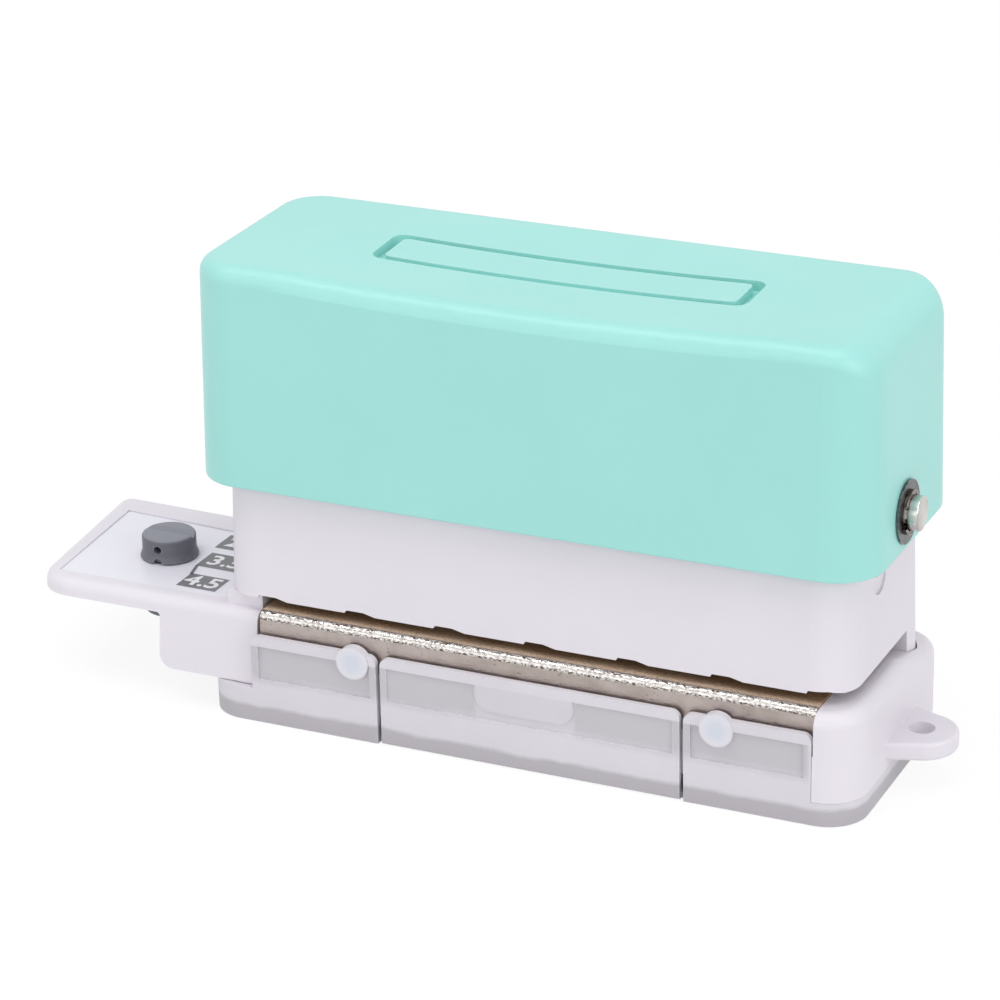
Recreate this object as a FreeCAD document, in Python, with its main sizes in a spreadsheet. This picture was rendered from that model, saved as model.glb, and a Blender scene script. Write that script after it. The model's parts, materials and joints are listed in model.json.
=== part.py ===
import FreeCAD, Part
import math
import os

import Sketcher

# Six-hole desk punch: a press cover drives six punch pins through a steel die plate.
# Millimetres, +Z up, front of the machine towards -Y, origin on the table under the cover's centre.

DIMENSIONS = {
    # hole row
    "hole_pitch": 19.0,
    "row_x": 2.0,
    "row_y": -4.5,
    "first_pin_x": -45.5,
    "pin_radius": 2.75,
    # running fit, and how far a cut runs past the face it opens
    "fit": 0.05,
    "over": 1.0,
    # press cover
    "cover_half_x": 69.7,
    "cover_half_y": 25.2,
    "cover_corner": 10.0,
    "cover_rim_z": 49.0,
    "cover_top_z": 93.6,
    "cover_wall": 1.8,
    "cover_ceiling_z": 90.0,
    "cover_taper": 1.09,
    "cover_edge": 3.4,
    "cover_end_edge": 7.5,
    "cover_left_edge": 3.0,
    "dish_depth": 1.4,
    "dish_rise": 20.0,
    "dish_half_x": 52.0,
    "dish_half_y": 32.0,
    "dish_y": -12.0,
    "groove_half_x": 38.3,
    "groove_half_y": 6.5,
    "groove_corner": 2.5,
    "groove_floor_z": 91.3,
    "groove_width": 2.4,
    "groove_side_width": 1.68,
    "cover_rim_round": 0.5,
    # body shell
    "shell_half_x": 65.45,
    "shell_half_y": 22.65,
    "shell_corner": 8.0,
    "shell_foot_z": 16.0,
    "shell_edge_z": 25.1,
    "shell_deck_z": 66.0,
    "shell_wall": 2.0,
    "shell_taper": 1.55,
    "throat_back_y": 10.8,
    "throat_wall": 1.4,
    "rib_half": 0.75,
    "rib_foot_inset": 1.6,
    "boss_radius": 3.5,
    "boss_height": 13.0,
    "pilot_depth": 11.0,
    "pilot_play": 0.03,
    "slot_width": 7.0,
    "slot_foot_z": 39.1,
    "slot_foot_depth": 0.5,
    "slot_low_z": 42.6,
    "slot_high_z": 60.1,
    "notch_width": 4.0,
    "notch_run": 2.6,
    "notch_height": 0.6,
    # axle rod and what holds it
    "rod_radius": 3.35,
    "rod_z": 56.5,
    "rod_half_length": 72.8,
    "rod_end_round": 0.35,
    "neck_start_x": 70.15,
    "neck_end_x": 70.95,
    "neck_radius": 2.3,
    "washer_radius": 6.15,
    "washer_inner_x": 69.72,
    "washer_thick": 0.4,
    "clip_radius": 4.3,
    "clip_thick": 0.6,
    "clip_band": 1.3,
    "tooth_reach": 0.8,
    "tooth_tall": 1.5,
    "tooth_wide": 2.4,
    "tooth_round": 0.2,
    "mouth_depth": 4.0,
    "mouth_round": 0.5,
    # press channel and pins
    "channel_half_x": 58.0,
    "channel_half_y": 5.5,
    "channel_low_z": 48.0,
    "channel_top_z": 60.6,
    "steel_thick": 1.5,
    "pin_neck_radius": 1.9,
    "pin_head_z": 51.2,
    "pin_tip_z": 25.3,
    "pin_step": 0.8,
    "pin_groove_depth": 0.5,
    "pin_groove_tall": 0.8,
    "ring_radius": 3.3,
    "ring_bite": 0.45,
    "ring_thick": 0.6,
    "ring_play": 0.1,
    "grind_radius": 4.4,
    "grind_drop": 3.575,
    # steel frame, die plate and the slot for the paper
    "frame_half_x": 58.0,
    "frame_front_y": -19.0,
    "frame_back_y": 12.0,
    "frame_low_z": 25.2,
    "frame_top_z": 36.5,
    "frame_bend": 2.2,
    "die_half_x": 57.65,
    "die_front_y": -24.3,
    "die_back_y": 10.6,
    "die_low_z": 14.3,
    "die_top_z": 23.1,
    "die_bend": 1.6,
    "rivet_y": 7.0,
    "rivet_radius": 2.0,
    "rivet_head_radius": 3.3,
    "rivet_crown_radius": 1.8,
    "rivet_head_tall": 1.6,
    "spacer_wall": 1.6,
    "stop_slot_half": 4.4,
    "stop_slot_play": 1.3,
    "stud_hole_radius": 1.7,
    # base
    "base_half_x": 68.1,
    "base_half_y": 26.1,
    "base_corner": 8.0,
    "base_inset": 1.7,
    "base_low_z": 5.0,
    "base_step_z": 7.2,
    "base_top_z": 22.7,
    "base_wall": 2.0,
    "block_left_x": -78.7,
    "block_right_x": -56.9,
    "block_low_z": 7.3,
    "arm_top_z": 22.0,
    "arm_low_z": 18.6,
    "arm_left_x": -107.0,
    "arm_right_x": -64.0,
    "arm_front_y": -22.9,
    "arm_back_y": 19.1,
    "arm_far_left_x": -111.3,
    "arm_far_left_y": 20.6,
    "arm_corner": 7.7,
    "arm_back_corner": 3.0,
    "left_slope": 1.7,
    "die_bay_right_x": 59.8,
    "rear_top_z": 19.2,
    "shelf_low_z": 12.3,
    "well_back_y": 8.5,
    "well_overlap": 0.5,
    "seat_play": 0.25,
    "block_front_wall": 4.5,
    "block_back_wall": 3.0,
    "block_root_wall": 0.3,
    "arm_side_wall": 2.2,
    "arm_hollow_shift": 0.2,
    "boss_wall": 3.0,
    "boss_rise": 1.5,
    "window_front": 3.2,
    "window_back": 4.7,
    "window_play": 0.4,
    "hole_play": 0.2,
    "lug_x": 72.2,
    "lug_low_z": 7.0,
    "lug_top_z": 10.7,
    "lug_radius": 7.1,
    "lug_hole_radius": 2.6,
    "right_front_x": 59.6,
    "corner_low_z": 4.9,
    "rim_round": 2.8,
    "rear_slope_y": 3.0,
    "rear_flat_y": 16.0,
    "lug_root_y": 9.0,
    "lug_root_run": 5.6,
    "lug_root_inset": 0.2,
    "lug_round": 0.8,
    "block_round": 3.0,
    "root_round": 0.8,
    "post_left_x": -64.6,
    "post_front_y": -20.6,
    "arm_top_round": 2.3,
    # chip tray
    "tray_half_x": 68.0,
    "tray_half_y": 26.0,
    "tray_wall": 1.3,
    "tray_rim_z": 7.1,
    "tray_end_rim_z": 4.8,
    "tray_end_x": 59.5,
    "flap_rim": 1.4,
    "flap_round": 1.8,
    "flap_panel_low_z": 9.5,
    "flap_panel_high_z": 16.5,
    "tray_flap_z": 18.6,
    "tray_taper": 0.7,
    "door_left_x": -29.0,
    "door_right_x": 33.3,
    "door_gap_left": 0.8,
    "door_gap_right": 0.8,
    "door_hinge_y": -25.45,
    "door_hinge_z": 0.65,
    "door_thick": 1.1,
    "panel_depth": 0.35,
    "stud_radius": 3.4,
    "stud_rise": 0.6,
    "peg_radius": 1.5,
    "peg_length": 3.2,
    "lip_length": 20.6,
    "lip_height": 7.0,
    "lip_drop": 3.7,
    "lip_shift": 0.75,
    # stop and its dial
    "dial_x": -87.1,
    "dial_y": -3.5,
    "dial_foot_radius": 5.95,
    "dial_radius": 5.5,
    "dial_foot_z": 23.4,
    "dial_top_z": 26.8,
    "stem_radius": 4.0,
    "dial_gap": 0.1,
    "dial_flare": 1.5,
    "dial_top_round": 0.7,
    "crease_depth": 0.6,
    "crease_steep": 0.3,
    "crease_flat": 2.6,
    "grip_radius": 0.85,
    "grip_depth": 2.5,
    "grip_x": 0.25,
    "grip_rise": 2.7,
    "pointer_radius": 0.9,
    "pointer_x": 0.35,
    "pilot_radius": 1.05,
    "screw_hole_radius": 1.2,
    "screw_seat_radius": 2.8,
    "screw_seat_depth": 0.9,
    "cam_shank_radius": 1.0,
    "cam_shank_length": 6.0,
    "cam_head_radius": 2.5,
    "cam_head_tall": 0.8,
    "cam_head_inset": 0.1,
    "drive_length": 4.0,
    "drive_width": 0.7,
    "drive_depth": 0.4,
    "cam_throw": 1.556,
    "cam_radius": 4.0,
    "drum_radius": 5.65,
    "drum_low_z": 10.0,
    "drum_floor": 1.5,
    "drum_round": 0.8,
    "waist_play": 0.2,
    "tail_width": 3.3,
    "tail_round": 0.3,
    "stop_low_z": 12.0,
    "stop_thick": 1.4,
    "stop_face_y": 1.75,
    "stop_left_x": -92.0,
    "stop_right_x": 56.0,
    "strip_front": 1.8,
    "strip_back": 3.3,
    "yoke_wall": 1.6,
    "slot_play": 0.3,
    "slot_run": 1.2,
    "slot_shift": 0.18,
    "finger_half": 4.0,
    "finger_inset": 0.4,
    "scale_thick": 0.45,
    "scale_sunk": 0.3,
    "scale_left_x": -104.0,
    "scale_far_left_x": -106.0,
    "scale_right_x": -64.9,
    "scale_front_y": -18.9,
    "scale_back_y": 13.1,
    "scale_back_right_y": 10.6,
    "scale_clip_x": -66.8,
    "scale_clip_y": -15.4,
    # springs and screws
    "spring_x": 36.0,
    "spring_radius": 5.2,
    "spring_wire": 0.6,
    "spring_play": 0.05,
    "peg_play": 0.4,
    "cover_peg": 4.0,
    "deck_peg": 5.0,
    "screw_radius": 1.4,
    "screw_y": 17.4,
    "screw_head_radius": 2.7,
    "screw_head_tall": 1.6,
    "screw_drive": 0.6,
    "case_shank": 10.0,
    "frame_shank": 9.0,
}

PIN_COUNT = 6
NOTCH_COUNT = 7
RIVET_X = (-50.0, -17.0, 21.0, 54.0)
FINGER_X = (-36.0, 2.0, 40.0)
CASE_SCREW_X = (-54.0, -18.0, 18.0, 54.0)
RIB_X = (-36.0, 0.0, 36.0)
FRAME_SCREWS = ((-40.0, 7.0), (44.0, 7.0), (-40.0, -15.5), (44.0, -15.5))
STUDS = ((-34.7, 16.6), (40.8, 16.3))
# how much shorter each pin is than the longest, in steps, so that they cut one pair after another
PIN_STAGGER = (0, 1, 2, 2, 1, 0)

doc = FreeCAD.newDocument("six_hole_punch")
sheet = doc.addObject("Spreadsheet::Sheet", "dims")
for row, (alias, value) in enumerate(DIMENSIONS.items(), start=1):
    sheet.set("A%d" % row, alias)
    sheet.set("B%d" % row, repr(value))
    sheet.setAlias("B%d" % row, alias)
doc.recompute()

parts = []


def size(formula):
    """Value of a formula over the sheet's aliases."""
    return float(sheet.evalExpression(bound(formula)))


def bound(formula):
    """The formula with each alias pointing at the sheet."""
    words = []
    word = ""
    for letter in str(formula) + " ":
        if letter.isalnum() or letter == "_" or letter == ".":
            word += letter
            continue
        words.append("dims." + word if word in DIMENSIONS else word)
        words.append(letter)
        word = ""
    return "".join(words).strip()


def new_body(name, is_part=True):
    body = doc.addObject("PartDesign::Body", name)
    body.Label = name
    if is_part:
        parts.append(body)
    return body


def origin_plane(body, role):
    return [o for o in body.Origin.OriginFeatures if o.Role == role][0]


def new_sketch(body, name, plane, across, up, along):
    """Empty sketch on one of the body's origin planes, moved by three formulas."""
    sketch = body.newObject("Sketcher::SketchObject", body.Name + "_" + name + "_sketch")
    sketch.AttachmentSupport = [(origin_plane(body, plane), "")]
    sketch.MapMode = "FlatFace"
    sketch.setExpression("AttachmentOffset.Base.x", bound(across))
    sketch.setExpression("AttachmentOffset.Base.y", bound(up))
    sketch.setExpression("AttachmentOffset.Base.z", bound(along))
    return sketch


def pull(body, name, sketch, length, cut, taper="0"):
    """Pad the sketch along its normal, or pocket it the same way, and check that it did something."""
    before = body.Shape.Volume if body.Tip else 0.0
    kind = "PartDesign::Pocket" if cut else "PartDesign::Pad"
    feature = body.newObject(kind, body.Name + "_" + name)
    feature.Profile = sketch
    if cut:
        feature.Reversed = True
    feature.setExpression("Length", bound(length))
    if taper != "0":
        feature.setExpression("TaperAngle", bound(taper))
    doc.recompute()
    change = body.Shape.Volume - before
    if (cut and change > -1e-3) or (not cut and change < 1e-3):
        raise RuntimeError("%s of %s changes nothing" % (name, body.Name))
    return feature


def add_rounded_rectangle(sketch, length, width, radius):
    """Rounded rectangle about the sketch's origin, fully constrained."""
    half_x, half_y, round_r = size(length) / 2, size(width) / 2, size(radius)
    inner_x, inner_y = half_x - round_r, half_y - round_r
    corners = ((inner_x, -inner_y, -90), (inner_x, inner_y, 0), (-inner_x, inner_y, 90),
               (-inner_x, -inner_y, 180))
    ends = []
    for centre_x, centre_y, start in corners:
        ends.append([
            FreeCAD.Vector(centre_x + round_r * math.cos(math.radians(turn)),
                           centre_y + round_r * math.sin(math.radians(turn)), 0)
            for turn in (start, start + 90)
        ])
    normal = FreeCAD.Vector(0, 0, 1)
    for index, (centre_x, centre_y, start) in enumerate(corners):
        sketch.addGeometry(Part.LineSegment(ends[index - 1][1], ends[index][0]), False)
        circle = Part.Circle(FreeCAD.Vector(centre_x, centre_y, 0), normal, round_r)
        arc = Part.ArcOfCircle(circle, math.radians(start), math.radians(start + 90))
        sketch.addGeometry(arc, False)
    for index in range(0, 8, 2):
        sketch.addConstraint(Sketcher.Constraint("Tangent", index, 2, index + 1, 1))
        sketch.addConstraint(Sketcher.Constraint("Tangent", index + 1, 2, (index + 2) % 8, 1))
        kind = "Horizontal" if index % 4 == 0 else "Vertical"
        sketch.addConstraint(Sketcher.Constraint(kind, index))
    for index in (3, 5, 7):
        sketch.addConstraint(Sketcher.Constraint("Equal", 1, index))
    sketch.addConstraint(Sketcher.Constraint("Symmetric", 0, 1, 4, 1, -1, 1))
    named = (("Radius", 1, round_r, radius),
             ("DistanceX", 6, 1, 2, 1, 2 * half_x, length),
             ("DistanceY", 0, 1, 4, 1, 2 * half_y, width))
    for entry in named:
        place = sketch.addConstraint(Sketcher.Constraint(*entry[:-1]))
        sketch.setExpression("Constraints[%d]" % place, bound(entry[-1]))


def slab(body, name, length, width, radius, z, height, x="0", y="0", cut=False, taper="0"):
    """Rounded rectangular block standing on height z."""
    sketch = new_sketch(body, name, "XY_Plane", x, y, z)
    add_rounded_rectangle(sketch, length, width, radius)
    return pull(body, name, sketch, height, cut, taper)


def add_column_outline(sketch, half_length, front, back, radius):
    """Outline with a straight front and two rounded corners at the back."""
    half_x, front_y, back_y, round_r = size(half_length), size(front), size(back), size(radius)
    inner_x, inner_y = half_x - round_r, back_y - round_r
    corners = ((-half_x, front_y), (half_x, front_y), (half_x, inner_y), (inner_x, back_y),
               (-inner_x, back_y), (-half_x, inner_y))
    points = [FreeCAD.Vector(x, y, 0) for x, y in corners]
    normal = FreeCAD.Vector(0, 0, 1)
    sketch.addGeometry(Part.LineSegment(points[0], points[1]), False)
    sketch.addGeometry(Part.LineSegment(points[1], points[2]), False)
    right = Part.Circle(FreeCAD.Vector(inner_x, inner_y, 0), normal, round_r)
    sketch.addGeometry(Part.ArcOfCircle(right, 0, math.pi / 2), False)
    sketch.addGeometry(Part.LineSegment(points[3], points[4]), False)
    left = Part.Circle(FreeCAD.Vector(-inner_x, inner_y, 0), normal, round_r)
    sketch.addGeometry(Part.ArcOfCircle(left, math.pi / 2, math.pi), False)
    sketch.addGeometry(Part.LineSegment(points[5], points[0]), False)
    for index in (0, 5):
        sketch.addConstraint(Sketcher.Constraint("Coincident", index, 2, (index + 1) % 6, 1))
    for index in (1, 2, 3, 4):
        sketch.addConstraint(Sketcher.Constraint("Tangent", index, 2, index + 1, 1))
    for kind, index in (("Vertical", 1), ("Horizontal", 3), ("Vertical", 5)):
        sketch.addConstraint(Sketcher.Constraint(kind, index))
    sketch.addConstraint(Sketcher.Constraint("Equal", 2, 4))
    sketch.addConstraint(Sketcher.Constraint("Symmetric", 0, 1, 0, 2, -2))
    named = (("Radius", 2, round_r, radius),
             ("DistanceX", -1, 1, 0, 2, half_x, half_length),
             ("DistanceY", -1, 1, 0, 2, front_y, front),
             ("DistanceY", -1, 1, 3, 1, back_y, back))
    for entry in named:
        place = sketch.addConstraint(Sketcher.Constraint(*entry[:-1]))
        sketch.setExpression("Constraints[%d]" % place, bound(entry[-1]))


def box(body, name, low, high, cut=False):
    """Sharp block between two corners, each given as three formulas."""
    sketch = new_sketch(body, name, "XY_Plane", low[0], low[1], low[2])
    length, width = "(%s) - (%s)" % (high[0], low[0]), "(%s) - (%s)" % (high[1], low[1])
    far_x, far_y = size(length), size(width)
    points = [FreeCAD.Vector(*p) for p in ((0, 0, 0), (far_x, 0, 0), (far_x, far_y, 0), (0, far_y, 0))]
    for index in range(4):
        sketch.addGeometry(Part.LineSegment(points[index], points[(index + 1) % 4]), False)
    for index in range(4):
        sketch.addConstraint(Sketcher.Constraint("Coincident", index, 2, (index + 1) % 4, 1))
        sketch.addConstraint(Sketcher.Constraint("Horizontal" if index % 2 == 0 else "Vertical", index))
    sketch.addConstraint(Sketcher.Constraint("Coincident", 0, 1, -1, 1))
    for kind, line, value, formula in (("DistanceX", 0, far_x, length), ("DistanceY", 1, far_y, width)):
        place = sketch.addConstraint(Sketcher.Constraint(kind, line, 1, line, 2, value))
        sketch.setExpression("Constraints[%d]" % place, bound(formula))
    return pull(body, name, sketch, "(%s) - (%s)" % (high[2], low[2]), cut)


def disc(body, name, radius, start, length, centre, plane="XY_Plane", cut=False, inner=None):
    """Cylinder or ring along the plane's normal; centre holds the plane's own two formulas."""
    sketch = new_sketch(body, name, plane, centre[0], centre[1], start)
    for formula in (radius, inner):
        if formula is None:
            continue
        circle = Part.Circle(FreeCAD.Vector(0, 0, 0), FreeCAD.Vector(0, 0, 1), size(formula))
        place = sketch.addGeometry(circle, False)
        sketch.addConstraint(Sketcher.Constraint("Coincident", place, 3, -1, 1))
        number = sketch.addConstraint(Sketcher.Constraint("Radius", place, size(formula)))
        sketch.setExpression("Constraints[%d]" % number, bound(formula))
    return pull(body, name, sketch, length, cut)


def profile(body, name, plane, corners, start, length, cut=False):
    """Straight-sided outline; every corner is a pair of formulas bound to the sketch."""
    sketch = new_sketch(body, name, plane, "0", "0", start)
    points = [FreeCAD.Vector(size(a), size(b), 0) for a, b in corners]
    count = len(points)
    for index in range(count):
        sketch.addGeometry(Part.LineSegment(points[index], points[(index + 1) % count]), False)
    for index in range(count):
        sketch.addConstraint(Sketcher.Constraint("Coincident", index, 2, (index + 1) % count, 1))
    for index, (across, up) in enumerate(corners):
        for kind, value, formula in (("DistanceX", points[index].x, across),
                                     ("DistanceY", points[index].y, up)):
            place = sketch.addConstraint(Sketcher.Constraint(kind, -1, 1, index, 1, value))
            sketch.setExpression("Constraints[%d]" % place, bound(formula))
    return pull(body, name, sketch, length, cut)


def soften(body, name, radius, wanted):
    """Round the edges of the body's tip for which wanted(edge box) is true."""
    tip = body.Tip
    names = []
    for index, edge in enumerate(tip.Shape.Edges, start=1):
        if wanted(edge.BoundBox):
            names.append("Edge%d" % index)
    feature = body.newObject("PartDesign::Fillet", body.Name + "_" + name)
    feature.Base = (tip, names)
    feature.setExpression("Radius", bound(radius))
    doc.recompute()
    if not names or "Invalid" in feature.State or feature.Shape.isNull():
        raise RuntimeError("%s of %s rounds nothing" % (name, body.Name))
    return feature


def flat_at(z, slack=0.01):
    """Test for edges that lie in the plane at height z."""
    return lambda bb: abs(bb.ZMin - z) < slack and abs(bb.ZMax - z) < slack


def pin_x(index):
    return "first_pin_x + %d * hole_pitch" % index


def press_cover():
    """Open-bottomed cover with a dished top, a grooved panel and wider roundings at its two ends."""
    body = new_body("cover_form", False)
    height = "cover_top_z - cover_rim_z"
    slab(body, "outside", "2 * cover_half_x", "2 * cover_half_y", "cover_corner",
         "cover_rim_z", height, taper="-cover_taper")
    slab(body, "inside", "2 * (cover_half_x - cover_wall)", "2 * (cover_half_y - cover_wall)",
         "cover_corner - cover_wall", "cover_rim_z", "cover_ceiling_z - cover_rim_z", cut=True,
         taper="-cover_taper")
    soften(body, "ceiling_edge", "cover_edge - cover_wall", flat_at(size("cover_ceiling_z")))
    slab(body, "groove", "2 * groove_half_x", "2 * groove_half_y", "groove_corner",
         "groove_floor_z", "cover_top_z - groove_floor_z", cut=True)
    slab(body, "pad", "2 * (groove_half_x - groove_width)", "2 * (groove_half_y - groove_side_width)",
         "groove_corner / 2", "groove_floor_z", "cover_top_z - groove_floor_z")
    spread = "sqrt(1 - (1 - dish_depth / dish_rise) ^ 2)"
    dish = body.newObject("PartDesign::SubtractiveEllipsoid", "cover_dish")
    dish.AttachmentSupport = [(origin_plane(body, "XY_Plane"), "")]
    dish.MapMode = "FlatFace"
    dish.Angle1, dish.Angle2, dish.Angle3 = -90, 90, 360
    for name, formula in (("Radius1", "dish_rise"), ("Radius2", "dish_half_x / " + spread),
                          ("Radius3", "dish_half_y / " + spread), ("AttachmentOffset.Base.y", "dish_y"),
                          ("AttachmentOffset.Base.z", "cover_top_z + dish_rise - dish_depth")):
        dish.setExpression(name, bound(formula))
    doc.recompute()
    disc(body, "rod_holes", "rod_radius + fit", "-cover_half_x - over", "2 * (cover_half_x + over)",
         ("row_y", "rod_z"), "YZ_Plane", cut=True)
    for side, sign in (("left", "-"), ("right", "")):
        disc(body, side + "_spring_peg", "spring_radius - spring_wire - peg_play",
             "cover_ceiling_z - cover_peg",
             "cover_peg", (sign + "spring_x", "row_y"))
    soften(body, "rim", "cover_rim_round", flat_at(size("cover_rim_z")))
    round_cover_top(body)


def round_cover_top(body):
    """Round the top outline: the right end more than the rest, and each corner from one side to the other."""
    long_side = size("cover_edge")
    reach = size("cover_half_y - cover_corner")
    span = size("cover_half_x - cover_corner")
    past_arc = size("cover_corner / 2")
    lowest = size("cover_top_z - dish_depth - 0.1")
    edges = []
    for index, edge in enumerate(body.Shape.Edges, start=1):
        first, last = edge.valueAt(edge.FirstParameter), edge.valueAt(edge.LastParameter)
        middle = edge.valueAt((edge.FirstParameter + edge.LastParameter) / 2)
        end_side = size("cover_end_edge" if middle.x > 0 else "cover_left_edge")
        if edge.BoundBox.ZMin < lowest:
            continue
        if abs(middle.y) > reach + past_arc and abs(middle.x) < span and edge.BoundBox.YLength < 1:
            edges.append((index, long_side, long_side))
        elif abs(middle.x) > span + past_arc and abs(middle.y) < reach:
            edges.append((index, end_side, end_side))
        elif abs(middle.x) > span and abs(middle.y) > reach:
            from_long_side = abs(first.y) > abs(last.y)
            edges.append((index, long_side, end_side) if from_long_side else (index, end_side, long_side))
    cover = doc.addObject("Part::Fillet", "press_cover")
    cover.Label = "press_cover"
    cover.Base = body
    cover.Edges = edges
    doc.recompute()
    parts.append(cover)


def body_shell():
    body = new_body("body_shell")
    slab(body, "outside", "2 * shell_half_x", "2 * shell_half_y", "shell_corner",
         "shell_foot_z", "shell_deck_z - shell_foot_z", taper="-shell_taper")
    slab(body, "inside", "2 * (shell_half_x - shell_wall)", "2 * (shell_half_y - shell_wall)",
         "shell_corner - shell_wall", "shell_foot_z", "shell_deck_z - shell_wall - shell_foot_z", cut=True,
         taper="-shell_taper")
    box(body, "throat", ("-shell_half_x - over", "-shell_half_y - over", "shell_foot_z - over"),
        ("shell_half_x + over", "throat_back_y", "shell_edge_z"), cut=True)
    box(body, "throat_back", ("-shell_half_x + 1", "throat_back_y", "shell_foot_z"),
        ("shell_half_x - 1", "throat_back_y + throat_wall", "frame_low_z - 0.2"))
    for index, rib_x in enumerate(RIB_X):
        box(body, "column_rib_%d" % index,
            ("%s - rib_half" % rib_x, "throat_back_y + throat_wall - 0.1", "shell_foot_z"),
            ("%s + rib_half" % rib_x, "shell_half_y - rib_foot_inset", "frame_low_z - 0.2"))
    for index, screw_x in enumerate(CASE_SCREW_X):
        centre = (str(screw_x), "screw_y")
        disc(body, "case_boss_%d" % index, "boss_radius", "shell_foot_z", "boss_height", centre)
        disc(body, "case_pilot_%d" % index, "screw_radius + pilot_play", "shell_foot_z", "pilot_depth",
             centre,
             cut=True)
    for index, (screw_x, screw_y) in enumerate(FRAME_SCREWS):
        centre = (str(screw_x), str(screw_y))
        disc(body, "frame_boss_%d" % index, "boss_radius", "frame_top_z",
             "shell_deck_z - shell_wall / 2 - frame_top_z", centre)
        disc(body, "frame_pilot_%d" % index, "screw_radius + pilot_play", "frame_top_z", "pilot_depth",
             centre,
             cut=True)
    for side, sign in (("left", "-"), ("right", "")):
        disc(body, side + "_spring_peg", "spring_radius - spring_wire - peg_play", "shell_deck_z",
             "deck_peg",
             (sign + "spring_x", "row_y"))
    end_x = "(shell_half_x - (slot_foot_z - shell_foot_z) * tan(shell_taper) - slot_foot_depth)"
    foot_length = "shell_half_x + over - " + end_x
    slots = (("rod_slots", "slot_low_z", "-shell_half_x - over", "2 * (shell_half_x + over)"),
             ("left_slot_foot", "slot_foot_z", "-shell_half_x - over", foot_length),
             ("right_slot_foot", "slot_foot_z", end_x, foot_length))
    for name, low_z, start, length in slots:
        slot = new_sketch(body, name, "YZ_Plane", "row_y", "(%s + slot_high_z) / 2" % low_z, start)
        add_rounded_rectangle(slot, "slot_width", "slot_high_z - " + low_z, "slot_width / 2 - 0.001")
        pull(body, name, slot, length, True)
    for index in range(NOTCH_COUNT):
        middle = "row_x + %d * hole_pitch" % (index - NOTCH_COUNT // 2)
        left, right = middle + " - notch_width / 2", middle + " + notch_width / 2"
        profile(body, "notch_%d" % index, "XZ_Plane",
                ((left, "shell_edge_z - over"), (left, "shell_edge_z"),
                 (left + " + notch_height / 2", "shell_edge_z + notch_height"),
                 (right, "shell_edge_z + notch_height"), (right + " + notch_run", "shell_edge_z"),
                 (right + " + notch_run", "shell_edge_z - over")),
                "shell_half_y - 3", "4", cut=True)


def axle_rod():
    body = new_body("axle_rod")
    centre = ("row_y", "rod_z")
    disc(body, "bar", "rod_radius", "-rod_half_length", "2 * rod_half_length", centre, "YZ_Plane")
    for side, start in (("left", "-neck_end_x"), ("right", "neck_start_x")):
        disc(body, side + "_neck", "rod_radius + over", start, "neck_end_x - neck_start_x", centre,
             "YZ_Plane", cut=True, inner="neck_radius")
    tip = size("rod_half_length")
    soften(body, "end_edges", "rod_end_round",
           lambda bb: bb.XLength < 0.01 and abs(abs(bb.XMin) - tip) < 0.01)


def rod_washer(side, start):
    body = new_body("rod_washer_" + side)
    disc(body, "ring", "washer_radius", start, "washer_thick", ("row_y", "rod_z"), "YZ_Plane",
         inner="rod_radius + fit")


def retaining_clip(side, start):
    """E-shaped clip: an open ring with three teeth that grip the rod's neck."""
    body = new_body("retaining_clip_" + side)
    disc(body, "ring", "clip_radius", start, "clip_thick", ("row_y", "rod_z"), "YZ_Plane",
         inner="neck_radius + clip_band")
    reach = "(neck_radius + tooth_reach)"
    for name, across, up, wide, tall in (("back", "1", "0", "tooth_tall", "tooth_wide"),
                                         ("upper", "0", "1", "tooth_wide", "tooth_tall"),
                                         ("lower", "0", "-1", "tooth_wide", "tooth_tall")):
        sketch = new_sketch(body, name, "YZ_Plane", "row_y + %s * %s" % (across, reach),
                            "rod_z + %s * %s" % (up, reach), start)
        add_rounded_rectangle(sketch, wide, tall, "tooth_round")
        pull(body, name, sketch, "clip_thick", False)
    sketch = new_sketch(body, "mouth", "YZ_Plane", "row_y - clip_radius + over", "rod_z", start)
    add_rounded_rectangle(sketch, "mouth_depth", "clip_radius", "mouth_round")
    pull(body, "mouth", sketch, "clip_thick", True)


def press_channel():
    """Folded steel channel that hangs on the rod and carries the six pins in its web."""
    body = new_body("press_channel")
    low = ("row_x - channel_half_x", "row_y - channel_half_y", "channel_low_z")
    high = ("row_x + channel_half_x", "row_y + channel_half_y", "channel_top_z")
    box(body, "block", low, high)
    box(body, "hollow", ["%s + steel_thick" % edge for edge in low],
        ("%s - steel_thick" % high[0], "%s - steel_thick" % high[1], high[2]), cut=True)
    disc(body, "rod_holes", "rod_radius + fit", "row_x - channel_half_x - over",
         "2 * (channel_half_x + over)",
         ("row_y", "rod_z"), "YZ_Plane", cut=True)
    for index in range(PIN_COUNT):
        disc(body, "pin_hole_%d" % index, "pin_neck_radius + fit", "channel_low_z - over",
             "steel_thick + 2 * over",
             (pin_x(index), "row_y"), cut=True)


def punch_pin(index):
    """Hardened pin with a neck for the channel and a hollow-ground cutting end."""
    body = new_body("punch_pin_%d" % (index + 1))
    tip_z = "(pin_tip_z + %d * pin_step)" % PIN_STAGGER[index]
    centre = (pin_x(index), "row_y")
    disc(body, "shank", "pin_radius", tip_z, "channel_low_z - %s" % tip_z, centre)
    disc(body, "neck", "pin_neck_radius", "channel_low_z", "pin_head_z - channel_low_z", centre)
    disc(body, "clip_groove", "pin_neck_radius + over", "channel_low_z + steel_thick + fit",
         "pin_groove_tall",
         centre, cut=True, inner="pin_neck_radius - pin_groove_depth")
    disc(body, "hollow_grind", "grind_radius", "-row_y - pin_radius - over", "2 * (pin_radius + over)",
         (pin_x(index), tip_z + " - grind_drop"), "XZ_Plane", cut=True)


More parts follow.
